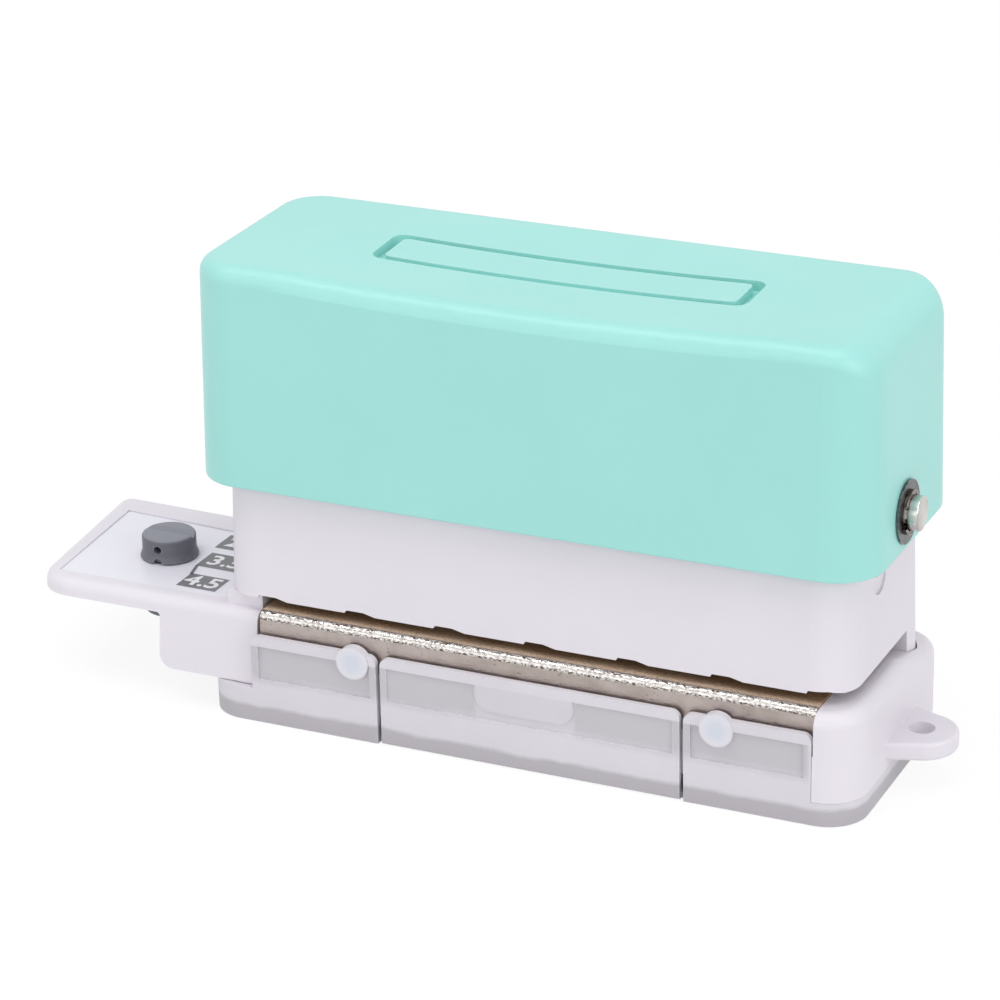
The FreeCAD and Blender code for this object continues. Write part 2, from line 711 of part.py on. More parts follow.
def pin_clips():
    """Six identical retaining rings in one node."""
    body = doc.addObject("Part::Compound", "pin_clips")
    body.Label = "pin_clips"
    rings = []
    for index in range(PIN_COUNT):
        solids = []
        for name, radius in (("outer", "ring_radius"), ("inner", "pin_neck_radius - ring_bite")):
            tube = doc.addObject("Part::Cylinder", "pin_clip_%s_%d" % (name, index + 1))
            tube.setExpression("Radius", bound(radius))
            tube.setExpression("Height", bound("ring_thick"))
            tube.setExpression("Placement.Base.x", bound(pin_x(index)))
            tube.setExpression("Placement.Base.y", bound("row_y"))
            tube.setExpression("Placement.Base.z", bound("channel_low_z + steel_thick + fit + ring_play"))
            solids.append(tube)
        ring = doc.addObject("Part::Cut", "pin_clip_%d" % (index + 1))
        ring.Base, ring.Tool = solids
        rings.append(ring)
    body.Links = rings
    parts.append(body)


def guide_frame():
    """Steel C-section that guides the pins above the paper."""
    body = new_body("guide_frame")
    left, right = "row_x - frame_half_x", "row_x + frame_half_x"
    box(body, "block", (left, "frame_front_y", "frame_low_z"), (right, "frame_back_y", "frame_top_z"))
    long_edges = (lambda bb: bb.XLength > 50 and abs(bb.YMin - size("frame_back_y")) < 0.01)
    soften(body, "bends", "frame_bend", long_edges)
    box(body, "hollow", (left + " - over", "frame_front_y - over", "frame_low_z + steel_thick"),
        (right + " + over", "frame_back_y - steel_thick", "frame_top_z - steel_thick"), cut=True)
    for index in range(PIN_COUNT):
        disc(body, "pin_hole_%d" % index, "pin_radius + fit", "frame_low_z - over",
             "frame_top_z - frame_low_z + 2 * over", (pin_x(index), "row_y"), cut=True)
    for index, rivet_x in enumerate(RIVET_X):
        disc(body, "rivet_hole_%d" % index, "rivet_radius + fit", "frame_low_z - over",
             "steel_thick + 2 * over",
             (str(rivet_x), "rivet_y"), cut=True)
    for index, (screw_x, screw_y) in enumerate(FRAME_SCREWS):
        disc(body, "screw_hole_%d" % index, "screw_radius + hole_play", "frame_top_z - steel_thick - over",
             "steel_thick + 2 * over", (str(screw_x), str(screw_y)), cut=True)


def die_plate():
    """Folded channel with the six die holes; its front leg shows above the tray."""
    body = new_body("die_plate")
    left, right = "row_x - die_half_x", "row_x + die_half_x"
    box(body, "block", (left, "die_front_y", "die_low_z"), (right, "die_back_y", "die_top_z"))
    top = size("die_top_z")
    soften(body, "bends", "die_bend", lambda bb: bb.XLength > 50 and abs(bb.ZMin - top) < 0.01)
    box(body, "hollow", (left + " - over", "die_front_y + steel_thick", "die_low_z - over"),
        (right + " + over", "die_back_y - steel_thick", "die_top_z - steel_thick"), cut=True)
    for index in range(PIN_COUNT):
        disc(body, "die_hole_%d" % index, "pin_radius + fit", "die_top_z - 2 * steel_thick",
             "3 * steel_thick",
             (pin_x(index), "row_y"), cut=True)
    for index, rivet_x in enumerate(RIVET_X):
        disc(body, "rivet_hole_%d" % index, "rivet_radius + fit", "die_top_z - 2 * steel_thick",
             "3 * steel_thick",
             (str(rivet_x), "rivet_y"), cut=True)
    for index, finger_x in enumerate(FINGER_X):
        box(body, "stop_slot_%d" % index,
            ("%s - stop_slot_half" % finger_x, "stop_face_y - stop_slot_play",
             "die_top_z - 2 * steel_thick"),
            ("%s + stop_slot_half" % finger_x, "stop_face_y + stop_thick + stop_slot_play",
             "die_top_z + over"),
            cut=True)
    for index, (stud_x, stud_z) in enumerate(STUDS):
        disc(body, "stud_hole_%d" % index, "stud_hole_radius", "-die_front_y - 2 * steel_thick",
             "3 * steel_thick",
             (str(stud_x), str(stud_z)), "XZ_Plane", cut=True)


def rivet_group():
    """Four domed rivets that clamp the frame to the die plate."""
    body = doc.addObject("Part::Compound", "frame_rivets")
    body.Label = "frame_rivets"
    rivets = []
    for index, rivet_x in enumerate(RIVET_X):
        shank = doc.addObject("Part::Cylinder", "rivet_shank_%d" % index)
        shank.setExpression("Radius", bound("rivet_radius"))
        shank.setExpression("Height", bound("frame_low_z - die_top_z + 2 * steel_thick"))
        shank.setExpression("Placement.Base.z", bound("die_top_z - steel_thick"))
        head = doc.addObject("Part::Cone", "rivet_head_%d" % index)
        head.setExpression("Radius1", bound("rivet_head_radius"))
        head.setExpression("Radius2", bound("rivet_crown_radius"))
        head.setExpression("Height", bound("rivet_head_tall"))
        head.setExpression("Placement.Base.z", bound("frame_low_z + steel_thick"))
        for solid in (shank, head):
            solid.setExpression("Placement.Base.x", bound(str(rivet_x)))
            solid.setExpression("Placement.Base.y", bound("rivet_y"))
        rivet = doc.addObject("Part::Fuse", "rivet_%d" % index)
        rivet.Base, rivet.Tool = shank, head
        rivets.append(rivet)
    body.Links = rivets
    parts.append(body)


def throat_spacers():
    """Four bushes round the rivets that keep the slot for the paper open."""
    body = doc.addObject("Part::Compound", "throat_spacers")
    body.Label = "throat_spacers"
    rings = []
    for index, rivet_x in enumerate(RIVET_X):
        solids = []
        for name, radius in (("outer", "rivet_radius + spacer_wall"), ("inner", "rivet_radius + fit")):
            tube = doc.addObject("Part::Cylinder", "spacer_%s_%d" % (name, index))
            tube.setExpression("Radius", bound(radius))
            tube.setExpression("Height", bound("frame_low_z - die_top_z"))
            tube.setExpression("Placement.Base.x", bound(str(rivet_x)))
            tube.setExpression("Placement.Base.y", bound("rivet_y"))
            tube.setExpression("Placement.Base.z", bound("die_top_z"))
            solids.append(tube)
        ring = doc.addObject("Part::Cut", "spacer_%d" % index)
        ring.Base, ring.Tool = solids
        rings.append(ring)
    body.Links = rings
    parts.append(body)


def base():
    """Lower moulding: sill, end blocks, the arm for the dial and the hanging ring."""
    body = new_body("base")
    slab(body, "upper", "2 * base_half_x", "2 * base_half_y", "base_corner", "corner_low_z",
         "base_top_z - corner_low_z")
    front = "-base_half_y + base_inset"
    box(body, "step", ("-base_half_x - over", "-base_half_y - over", "corner_low_z - over"),
        ("right_front_x", "base_half_y + over", "base_step_z"), cut=True)
    box(body, "front_recess", ("-base_half_x - over", "-base_half_y - over", "base_step_z - over"),
        ("right_front_x", front, "base_top_z + over"), cut=True)
    slab(body, "lower", "2 * (base_half_x - base_inset)", "2 * (base_half_y - base_inset)",
         "base_corner - base_inset", "base_low_z", "base_top_z - base_low_z")
    profile(body, "left_block", "YZ_Plane",
            (("arm_front_y - left_slope", "block_low_z"), ("base_half_y - over", "block_low_z"),
             ("base_half_y - over", "arm_top_z"), ("arm_front_y - left_slope", "arm_top_z")),
            "block_left_x", "block_right_x - block_left_x")
    profile(body, "arm", "XY_Plane",
            (("arm_left_x", "arm_front_y - left_slope"), ("arm_right_x", "arm_front_y - left_slope"),
             ("arm_right_x", "arm_back_y"), ("arm_far_left_x", "arm_far_left_y")),
            "arm_low_z", "arm_top_z - arm_low_z")
    box(body, "left_top", ("-base_half_x - over", "-base_half_y - over", "arm_top_z"),
        ("block_right_x", "base_half_y + over", "base_top_z + over"), cut=True)
    profile(body, "left_front", "YZ_Plane",
            (("-base_half_y - over", "base_step_z"), ("arm_front_y - left_slope", "base_step_z"),
             ("arm_front_y", "arm_top_z"), ("arm_front_y", "base_top_z + over"),
             ("-base_half_y - over", "base_top_z + over")),
            "arm_left_x - over", "block_right_x - arm_left_x + over", cut=True)
    profile(body, "rear_slope", "YZ_Plane",
            (("rear_slope_y", "base_top_z + over"), ("rear_slope_y", "base_top_z"),
             ("rear_flat_y", "rear_top_z"),
             ("base_half_y + over", "rear_top_z"), ("base_half_y + over", "base_top_z + over")),
            "block_right_x", "base_half_x + 1 - block_right_x", cut=True)
    disc(body, "lug", "lug_radius", "lug_low_z", "lug_top_z - lug_low_z", ("lug_x", "0"))
    profile(body, "lug_root", "XY_Plane",
            (("base_half_x - base_wall", "-lug_root_y"), ("base_half_x", "-lug_root_y"),
             ("base_half_x + lug_root_run", "-lug_radius + lug_root_inset"),
             ("base_half_x + lug_root_run", "lug_radius - lug_root_inset"),
             ("base_half_x", "lug_root_y"), ("base_half_x - base_wall", "lug_root_y")),
            "lug_low_z", "lug_top_z - lug_low_z")
    base_roundings(body)
    box(body, "end_post", ("post_left_x", "post_front_y", "arm_top_z - base_wall / 2"),
        ("block_right_x", "throat_back_y - 0.1", "shell_edge_z - 0.1"))
    base_hollows(body)


def base_roundings(body):
    """Corners and edges of the base, from the largest radius to the smallest."""
    arm_left = size("arm_left_x")
    arm_top, arm_low, arm_front = size("arm_top_z"), size("arm_low_z"), size("arm_front_y")
    block_left, block_low, block_right = size("block_left_x"), size("block_low_z"), size("block_right_x")
    end, rear = size("base_half_x"), size("rear_top_z")
    soften(body, "arm_corner", "arm_corner",
           lambda bb: bb.XLength < 0.1 and bb.ZLength > 1 and bb.XMax < arm_left + 0.1 and bb.YMax < 0)
    soften(body, "arm_back_corner", "arm_back_corner",
           lambda bb: bb.XLength < 0.1 and bb.ZLength > 1 and bb.XMax < arm_left + 0.1 and bb.YMin > 0)
    soften(body, "block_corner", "block_round",
           lambda bb: flat_at(block_low)(bb) and abs(bb.XMin - block_left) < 0.01 and bb.XLength < 0.01)
    soften(body, "arm_root", "root_round",
           lambda bb: flat_at(arm_low)(bb) and abs(bb.XMin - block_left) < 0.01 and bb.XLength < 0.01)
    soften(body, "arm_top_edge", "arm_top_round",
           lambda bb: flat_at(arm_top)(bb) and bb.YMax < arm_front + 0.01 and bb.XLength > 10)
    soften(body, "rim_edge", "rim_round",
           lambda bb: bb.ZMin > rear - 0.01 and bb.XMin > block_right - 1
           and (bb.YMin > 18 or bb.XMin > size("right_front_x") or bb.YMax < 0.01 - size("base_half_y")))
    soften(body, "lug_edges", "lug_round",
           lambda bb: bb.XMin > end - 0.1 and bb.XLength > 1
           and (flat_at(size("lug_top_z"))(bb) or flat_at(size("lug_low_z"))(bb)))


def base_hollows(body):
    """Cavities, seats and holes of the base."""
    inner_x, inner_y = "(base_half_x - base_inset - base_wall)", "(base_half_y - base_inset - base_wall)"
    box(body, "cavity", ("-" + inner_x, "-" + inner_y, "corner_low_z - over"),
        (inner_x, inner_y, "shelf_low_z"), cut=True)
    box(body, "chip_well", ("block_right_x", "-" + inner_y, "shelf_low_z - well_overlap"),
        ("die_bay_right_x", "well_back_y", "die_low_z + well_overlap"), cut=True)
    box(body, "die_bay", ("block_right_x", "-base_half_y - over", "die_low_z"),
        ("die_bay_right_x", "throat_back_y - 0.1", "base_top_z + over"), cut=True)
    box(body, "left_well", ("-" + inner_x, "-" + inner_y, "shelf_low_z - well_overlap"),
        ("block_right_x - base_wall", "well_back_y", "arm_top_z - base_wall"), cut=True)
    box(body, "right_well", ("die_bay_right_x + base_wall", "-" + inner_y, "shelf_low_z - well_overlap"),
        (inner_x, "well_back_y", "rear_top_z - well_overlap"), cut=True)
    seat = new_sketch(body, "column_seat", "XY_Plane", "0", "0", "shell_foot_z")
    add_column_outline(seat, "shell_half_x + seat_play", "throat_back_y - 0.1", "shell_half_y + seat_play",
                       "shell_corner + seat_play")
    pull(body, "column_seat", seat, "base_top_z + 1 - shell_foot_z", True)
    box(body, "block_hollow", ("block_left_x + base_wall", "-base_half_y + block_front_wall",
                               "block_low_z - over"),
        ("-base_half_x - block_root_wall", "base_half_y - block_back_wall", "arm_top_z - base_wall"),
        cut=True)
    slab(body, "arm_hollow", "block_left_x - arm_left_x - base_wall",
         "arm_back_y - arm_front_y - 2 * arm_side_wall", "block_round", "arm_low_z",
         "arm_top_z - arm_low_z - base_wall", x="(arm_left_x + block_left_x) / 2 + arm_hollow_shift",
         y="(arm_front_y + arm_back_y) / 2", cut=True)
    dial = ("dial_x", "dial_y")
    disc(body, "dial_boss", "stem_radius + boss_wall", "arm_low_z", "arm_top_z - arm_low_z - boss_rise",
         dial)
    disc(body, "dial_bore", "stem_radius + fit", "arm_low_z - over", "arm_top_z - arm_low_z + 2 * over",
         dial, cut=True)
    profile(body, "scale_recess", "XY_Plane", scale_outline("0"), "arm_top_z - scale_thick - scale_sunk",
            "1",
            cut=True)
    box(body, "stop_window", ("block_left_x - over", "stop_face_y - window_front",
                              "stop_low_z - window_play"),
        ("block_right_x + over", "stop_face_y + window_back", "stop_low_z + stop_thick + window_play"),
        cut=True)
    disc(body, "lug_hole", "lug_hole_radius", "lug_low_z - over", "lug_top_z - lug_low_z + 2 * over",
         ("lug_x", "0"),
         cut=True)
    for index, screw_x in enumerate(CASE_SCREW_X):
        disc(body, "case_screw_hole_%d" % index, "screw_radius + hole_play", "shelf_low_z - over",
             "shell_foot_z - shelf_low_z + 2 * over", (str(screw_x), "screw_y"), cut=True)


def scale_outline(gap):
    """Outline of the dial's scale panel: front right corner clipped, left edge askew like the arm's."""
    right, front = "scale_right_x - " + gap, "scale_front_y + " + gap
    return (("scale_left_x + " + gap, front), ("scale_clip_x", front), (right, "scale_clip_y"),
            (right, "scale_back_right_y - " + gap),
            ("scale_far_left_x + " + gap, "scale_back_y - " + gap))


def margin_scale_plate():
    body = new_body("margin_scale_plate")
    profile(body, "panel", "XY_Plane", scale_outline("fit"), "arm_top_z - scale_thick - scale_sunk",
            "scale_thick")
    disc(body, "dial_hole", "stem_radius + pointer_radius", "arm_top_z - over", "2 * over",
         ("dial_x", "dial_y"), cut=True)


def depth_dial():
    """Round dial with a flared foot and a creased top, on a stem whose square tail turns the cam."""
    body = new_body("depth_dial")
    centre = ("dial_x", "dial_y")
    low = "(arm_top_z + dial_gap)"
    flare = "dial_foot_radius - dial_radius"
    sketch = new_sketch(body, "foot", "XY_Plane", "dial_x", "dial_y", low)
    circle = Part.Circle(FreeCAD.Vector(0, 0, 0), FreeCAD.Vector(0, 0, 1), size("dial_foot_radius"))
    sketch.addGeometry(circle, False)
    sketch.addConstraint(Sketcher.Constraint("Coincident", 0, 3, -1, 1))
    place = sketch.addConstraint(Sketcher.Constraint("Radius", 0, size("dial_foot_radius")))
    sketch.setExpression("Constraints[%d]" % place, bound("dial_foot_radius"))
    pull(body, "foot", sketch, "dial_foot_z - " + low, False,
         taper="-atan((%s) / (dial_foot_z - %s))" % (flare, low))
    disc(body, "head", "dial_radius", "dial_foot_z", "dial_top_z - dial_foot_z", centre)
    soften(body, "flare", "dial_flare", flat_at(size("dial_foot_z")))
    top = size("dial_top_z")
    soften(body, "top_edge", "dial_top_round", flat_at(top))
    profile(body, "crease", "YZ_Plane",
            (("dial_y - crease_steep", "dial_top_z + 0.1"), ("dial_y", "dial_top_z - crease_depth"),
             ("dial_y + crease_flat", "dial_top_z + 0.1")),
            "dial_x - dial_radius - over", "2 * (dial_radius + over)", cut=True)
    disc(body, "grip_hole", "grip_radius", "-dial_y + dial_radius - grip_depth", "grip_depth + over",
         ("dial_x + grip_x", low + " + grip_rise"), "XZ_Plane", cut=True)
    disc(body, "pointer", "pointer_radius", "-dial_y + dial_foot_radius - over", "2 * over",
         ("dial_x + pointer_x", low), "XZ_Plane", cut=True)
    disc(body, "stem", "stem_radius", "arm_low_z - dial_gap", "arm_top_z - arm_low_z + 4 * dial_gap",
         centre)
    slab(body, "tail", "tail_width", "tail_width", "tail_round", "drum_low_z + drum_floor + 0.1",
         "arm_low_z - drum_low_z - drum_floor - 0.1", x="dial_x", y="dial_y")
    disc(body, "screw_pilot", "pilot_radius", "drum_low_z + drum_floor", "cam_shank_length", centre,
         cut=True)


def cam_drum():
    """Drum under the arm; its waist is an eccentric disc that shifts the paper stop."""
    body = new_body("cam_drum")
    centre = ("dial_x", "dial_y")
    waist_low, waist_high = "(stop_low_z - waist_play)", "(stop_low_z + stop_thick + waist_play)"
    disc(body, "flange", "drum_radius", "drum_low_z", waist_low + " - drum_low_z", centre)
    low = size("drum_low_z")
    soften(body, "low_edge", "drum_round", flat_at(low))
    disc(body, "cam", "cam_radius", waist_low, "%s - %s" % (waist_high, waist_low),
         ("dial_x + cam_throw", "dial_y"))
    disc(body, "collar", "drum_radius", waist_high, "arm_low_z - dial_gap - " + waist_high, centre)
    slab(body, "socket", "tail_width + 2 * fit", "tail_width + 2 * fit", "tail_round",
         "drum_low_z + drum_floor",
         "arm_low_z - drum_low_z", x="dial_x", y="dial_y", cut=True)
    disc(body, "screw_hole", "screw_hole_radius", "drum_low_z", "drum_floor + over", centre, cut=True)
    disc(body, "screw_seat", "screw_seat_radius", "drum_low_z - over", "screw_seat_depth + over", centre,
         cut=True)


def cam_screw():
    body = new_body("cam_screw")
    centre = ("dial_x", "dial_y")
    head_z = "drum_low_z + cam_head_inset"
    disc(body, "shank", "cam_shank_radius", "drum_low_z + cam_head_tall", "cam_shank_length", centre)
    disc(body, "head", "cam_head_radius", head_z, "cam_head_tall", centre)
    sketch = new_sketch(body, "drive", "XY_Plane", "dial_x", "dial_y", head_z)
    add_rounded_rectangle(sketch, "drive_length", "drive_width", "drive_width / 7")
    pull(body, "drive", sketch, "drive_depth", True)


def paper_stop():
    """Strip under the die plate with three fingers that meet the sheet's edge."""
    body = new_body("paper_stop")
    top = "stop_low_z + stop_thick"
    box(body, "strip", ("stop_left_x", "stop_face_y - strip_front", "stop_low_z"),
        ("stop_right_x", "stop_face_y + strip_back", top))
    box(body, "yoke", ("stop_left_x", "dial_y - cam_radius - yoke_wall", "stop_low_z"),
        ("block_left_x - 0.6", "stop_face_y", top))
    slab(body, "cam_slot", "2 * cam_radius + slot_run", "2 * cam_radius + slot_play",
         "cam_radius + 2 * fit",
         "stop_low_z - over", "stop_thick + 2 * over", x="dial_x + cam_throw - slot_shift", y="dial_y",
         cut=True)
    for index, finger_x in enumerate(FINGER_X):
        box(body, "finger_%d" % index, ("%s - finger_half" % finger_x, "stop_face_y", "stop_low_z"),
            ("%s + finger_half" % finger_x, "stop_face_y + stop_thick", "shell_edge_z - finger_inset"))


def chip_tray():
    """Translucent tray under the base with two side flaps and studs that snap into the die plate."""
    body = new_body("chip_tray")
    slab(body, "outside", "2 * tray_half_x", "2 * tray_half_y", "base_corner", "0", "tray_flap_z",
         taper="tray_taper")
    slab(body, "inside", "2 * (tray_half_x - tray_wall)", "2 * (tray_half_y - tray_wall)",
         "base_corner - tray_wall", "tray_wall", "tray_flap_z", cut=True, taper="tray_taper")
    far = "(tray_half_x + 2)"
    box(body, "left_rim", ("-" + far, "-" + far, "tray_rim_z"),
        ("block_right_x - 0.1", far, "tray_flap_z + over"),
        cut=True)
    box(body, "right_rim", ("tray_end_x", "-" + far, "tray_end_rim_z"), (far, far, "tray_flap_z + over"),
        cut=True)
    box(body, "back_rim", ("-" + far, "-tray_half_y / 2", "tray_rim_z"),
        ("tray_end_x", far, "tray_flap_z + over"),
        cut=True)
    door_low, door_high = "door_left_x - door_gap_left", "door_right_x + door_gap_right"
    box(body, "door_opening", (door_low, "-tray_half_y - 2", "-1"),
        (door_high, "-tray_half_y + tray_wall", "tray_flap_z + over"), cut=True)
    high = size("tray_flap_z")
    soften(body, "flap_corners", "flap_round",
           lambda bb: abs(bb.ZMax - high) < 0.01 and bb.ZLength < 0.3
           and bb.YLength > 1 and bb.XLength < 0.2)
    flaps = (("left_panel", "block_right_x + flap_rim", door_low + " - flap_rim"),
             ("right_panel", door_high + " + flap_rim", "tray_end_x - flap_rim"))
    for name, left, right in flaps:
        box(body, name, (left, "-tray_half_y - 2", "flap_panel_low_z"),
            (right, "-tray_half_y + panel_depth", "flap_panel_high_z"), cut=True)
    for index, (stud_x, stud_z) in enumerate(STUDS):
        centre = (str(stud_x), str(stud_z))
        disc(body, "stud_%d" % index, "stud_radius", "tray_half_y - tray_wall + 0.1",
             "tray_wall - 0.1 + stud_rise", centre, "XZ_Plane")
        disc(body, "peg_%d" % index, "peg_radius", "-die_front_y + over - peg_length", "peg_length", centre,
             "XZ_Plane")


def tray_door():
    """Middle flap of the tray, bending down about the thin line along its foot."""
    body = new_body("tray_door")
    half = "door_thick / 2"
    length = "door_right_x - door_left_x"
    box(body, "leaf", ("door_left_x", "door_hinge_y - " + half, "door_hinge_z"),
        ("door_right_x", "door_hinge_y + " + half, "tray_flap_z"))
    disc(body, "foot", half, "door_left_x", length, ("door_hinge_y", "door_hinge_z"), "YZ_Plane")
    box(body, "panel", ("door_left_x + flap_rim", "door_hinge_y - 2", "flap_panel_low_z"),
        ("door_right_x - flap_rim", "door_hinge_y - %s + panel_depth" % half, "flap_panel_high_z"),
        cut=True)
    top, front = size("tray_flap_z"), size("door_hinge_y")
    soften(body, "corners", "flap_round",
           lambda bb: abs(bb.ZMin - top) < 0.01 and bb.XLength < 0.01 and bb.YMax < front + 1)
    middle = "(door_left_x + door_right_x) / 2"
    sketch = new_sketch(body, "lip", "XZ_Plane", middle + " - lip_shift", "tray_flap_z - lip_drop",
                        "-door_hinge_y")
    add_rounded_rectangle(sketch, "lip_length", "lip_height", "lip_height / 2 - fit")
    pull(body, "lip", sketch, half, False)


def spring_wire_path(radius, low, high):
    """Smooth wire of arcs up one closed turn, the active turns and one closed turn."""
    steps_per_turn = 4
    closed, active = 1, 6
    wire = size("spring_wire")
    closed_pitch = 2 * wire + 0.5
    active_pitch = (high - low - 2 * closed * closed_pitch) / active
    heights = [low]
    for turn_pitch, turns in ((closed_pitch, closed), (active_pitch, active), (closed_pitch, closed)):
        for _ in range(turns * steps_per_turn):
            heights.append(heights[-1] + turn_pitch / steps_per_turn)
    points = []
    tangents = []
    for index, height in enumerate(heights):
        angle = 2 * math.pi * index / steps_per_turn
        below, above = heights[max(index - 1, 0)], heights[min(index + 1, len(heights) - 1)]
        steps = min(index + 1, len(heights) - 1) - max(index - 1, 0)
        climb = (above - below) / steps / (2 * math.pi / steps_per_turn)
        points.append(FreeCAD.Vector(radius * math.cos(angle), radius * math.sin(angle), height))
        tangents.append(FreeCAD.Vector(-radius * math.sin(angle), radius * math.cos(angle),
                                       climb).normalize())
    edges = []
    for index in range(len(points) - 1):
        edges += biarc(points[index], tangents[index], points[index + 1], tangents[index + 1])
    return Part.Wire(edges), points[0], tangents[0]


def biarc(start, leave, end, arrive):
    """Two tangent arcs from start to end that keep both directions."""
    span = end - start
    both = leave + arrive
    square = 2 * (1 - leave.dot(arrive))
    reach = span.dot(both)
    handle = (-reach + math.sqrt(reach * reach + square * span.dot(span))) / square
    first, second = start + leave * handle, end - arrive * handle
    joint = (first + second) * 0.5
    return [arc_from_tangent(start, leave, joint),
            arc_from_tangent(joint, (second - first).normalize(), end)]


def arc_from_tangent(start, leave, end):
    chord = end - start
    inward = (chord - leave * chord.dot(leave)).normalize()
    radius = chord.dot(chord) / (2 * chord.dot(inward))
    centre = start + inward * radius
    out = ((start - centre) + (end - centre)).normalize()
    return Part.Arc(start, centre + out * radius, end).toShape()


def return_spring(side, sign):
    """Compression spring between the shell's deck and the cover's ceiling."""
    radius, wire, gap = size("spring_radius"), size("spring_wire"), size("spring_play")
    low = size("shell_deck_z") + wire + gap
    high = size("cover_ceiling_z") - wire - gap
    path, start, tangent = spring_wire_path(radius, low, high)
    section = Part.Wire([Part.makeCircle(wire, start, tangent)])
    coil = path.makePipeShell([section], True, False)
    spring = doc.addObject("Part::Feature", "return_spring_" + side)
    spring.Label = "return_spring_" + side
    spring.Shape = coil
    spring.Placement = FreeCAD.Placement(FreeCAD.Vector(sign * size("spring_x"), size("row_y"), 0),
                                         FreeCAD.Rotation())
    print(spring.Label, "wire length", round(path.Length, 1), "volume", round(coil.Volume, 1),
          "section times length", round(math.pi * wire ** 2 * path.Length, 1))
    parts.append(spring)


def screw_group(name, places, head_z, shank_tall):
    """Pan-head screws that stand head down, as separate solids in one node."""
    head_tall, head_radius = "screw_head_tall", "screw_head_radius"
    body = doc.addObject("Part::Compound", name)
    body.Label = name
    screws = []
    for index, (screw_x, screw_y) in enumerate(places):
        head = doc.addObject("Part::Cylinder", "%s_head_%d" % (name, index))
        head.setExpression("Radius", bound(head_radius))
        head.setExpression("Height", bound(head_tall))
        head.setExpression("Placement.Base.z", bound(head_z))
        shank = doc.addObject("Part::Cylinder", "%s_shank_%d" % (name, index))
        shank.setExpression("Radius", bound("screw_radius"))
        shank.setExpression("Height", bound(shank_tall))
        shank.setExpression("Placement.Base.z", bound("%s + %s" % (head_z, head_tall)))
        drive = doc.addObject("Part::Box", "%s_drive_%d" % (name, index))
        drive.setExpression("Length", bound("%s * 1.4" % head_radius))
        drive.setExpression("Width", bound("screw_drive"))
        drive.setExpression("Height", bound("screw_drive"))
        drive.setExpression("Placement.Base.x", bound("%s - %s * 0.7" % (screw_x, head_radius)))
        drive.setExpression("Placement.Base.y", bound("%s - screw_drive / 2" % screw_y))
        drive.setExpression("Placement.Base.z", bound(head_z))
        for solid in (head, shank):
            solid.setExpression("Placement.Base.x", bound(str(screw_x)))
            solid.setExpression("Placement.Base.y", bound(str(screw_y)))
        whole = doc.addObject("Part::Fuse", "%s_whole_%d" % (name, index))
        whole.Base, whole.Tool = head, shank
        slotted = doc.addObject("Part::Cut", "%s_%d" % (name, index))
        slotted.Base, slotted.Tool = whole, drive
        screws.append(slotted)
    body.Links = screws
    parts.append(body)


def build():
    press_cover()
    body_shell()
    axle_rod()
    rod_washer("left", "-washer_inner_x - washer_thick")
    rod_washer("right", "washer_inner_x")
    retaining_clip("left", "-neck_start_x - 0.1 - clip_thick")
    retaining_clip("right", "neck_start_x + 0.1")
    press_channel()
    for index in range(PIN_COUNT):
        punch_pin(index)
    pin_clips()
    guide_frame()
    die_plate()
    rivet_group()
    throat_spacers()
    base()
    margin_scale_plate()
    depth_dial()
    cam_drum()
    cam_screw()
    paper_stop()
    chip_tray()
    tray_door()
    return_spring("left", -1)
    return_spring("right", 1)
    case_places = [(x, "screw_y") for x in CASE_SCREW_X]
    screw_group("case_screws", case_places, "shelf_low_z - screw_head_tall", "case_shank")
    screw_group("frame_screws", FRAME_SCREWS, "frame_top_z - steel_thick - screw_head_tall", "frame_shank")


def write_parts():
    """Check every object, then write one file for each sub-part."""
    doc.recompute()
    for item in doc.Objects:
        if "Invalid" in item.State or "Error" in item.State:
            raise RuntimeError("%s is %s" % (item.Name, item.State))
    os.makedirs("parts", exist_ok=True)
    for part in parts:
        shape = part.Shape
        if shape.isNull() or not shape.isValid():
            raise RuntimeError("%s has no valid shape" % part.Label)
        shape.exportStep("parts/%s.step" % part.Label)
        box_text = " ".join("%.2f" % v for v in (shape.BoundBox.XMin, shape.BoundBox.XMax,
                                                 shape.BoundBox.YMin,
                                                 shape.BoundBox.YMax, shape.BoundBox.ZMin,
                                                 shape.BoundBox.ZMax))
        print("%-22s solids %d volume %9.1f box %s" % (part.Label, len(shape.Solids), shape.Volume,
                                                       box_text))


build()
write_parts()
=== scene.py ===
import json
import math

import bpy
from mathutils import Matrix, Vector


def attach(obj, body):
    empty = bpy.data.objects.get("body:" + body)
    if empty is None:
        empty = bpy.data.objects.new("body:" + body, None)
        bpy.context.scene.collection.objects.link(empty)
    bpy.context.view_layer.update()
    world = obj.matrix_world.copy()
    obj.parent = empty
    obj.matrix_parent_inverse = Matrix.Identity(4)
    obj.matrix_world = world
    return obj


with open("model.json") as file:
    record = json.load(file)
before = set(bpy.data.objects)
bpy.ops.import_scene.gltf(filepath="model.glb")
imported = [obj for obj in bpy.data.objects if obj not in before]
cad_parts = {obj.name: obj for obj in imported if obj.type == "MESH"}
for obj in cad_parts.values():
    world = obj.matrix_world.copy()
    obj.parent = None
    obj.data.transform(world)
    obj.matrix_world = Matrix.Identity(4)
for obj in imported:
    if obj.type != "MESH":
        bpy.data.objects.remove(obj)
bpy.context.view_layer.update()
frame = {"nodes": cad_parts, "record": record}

bpy.ops.object.select_all(action="DESELECT")


# small helpers for node trees
def putNode(tree, kind, at, **settings):
    node = tree.nodes.new(kind)
    node.location = at
    for name, value in settings.items():
        setattr(node, name, value)
    return node


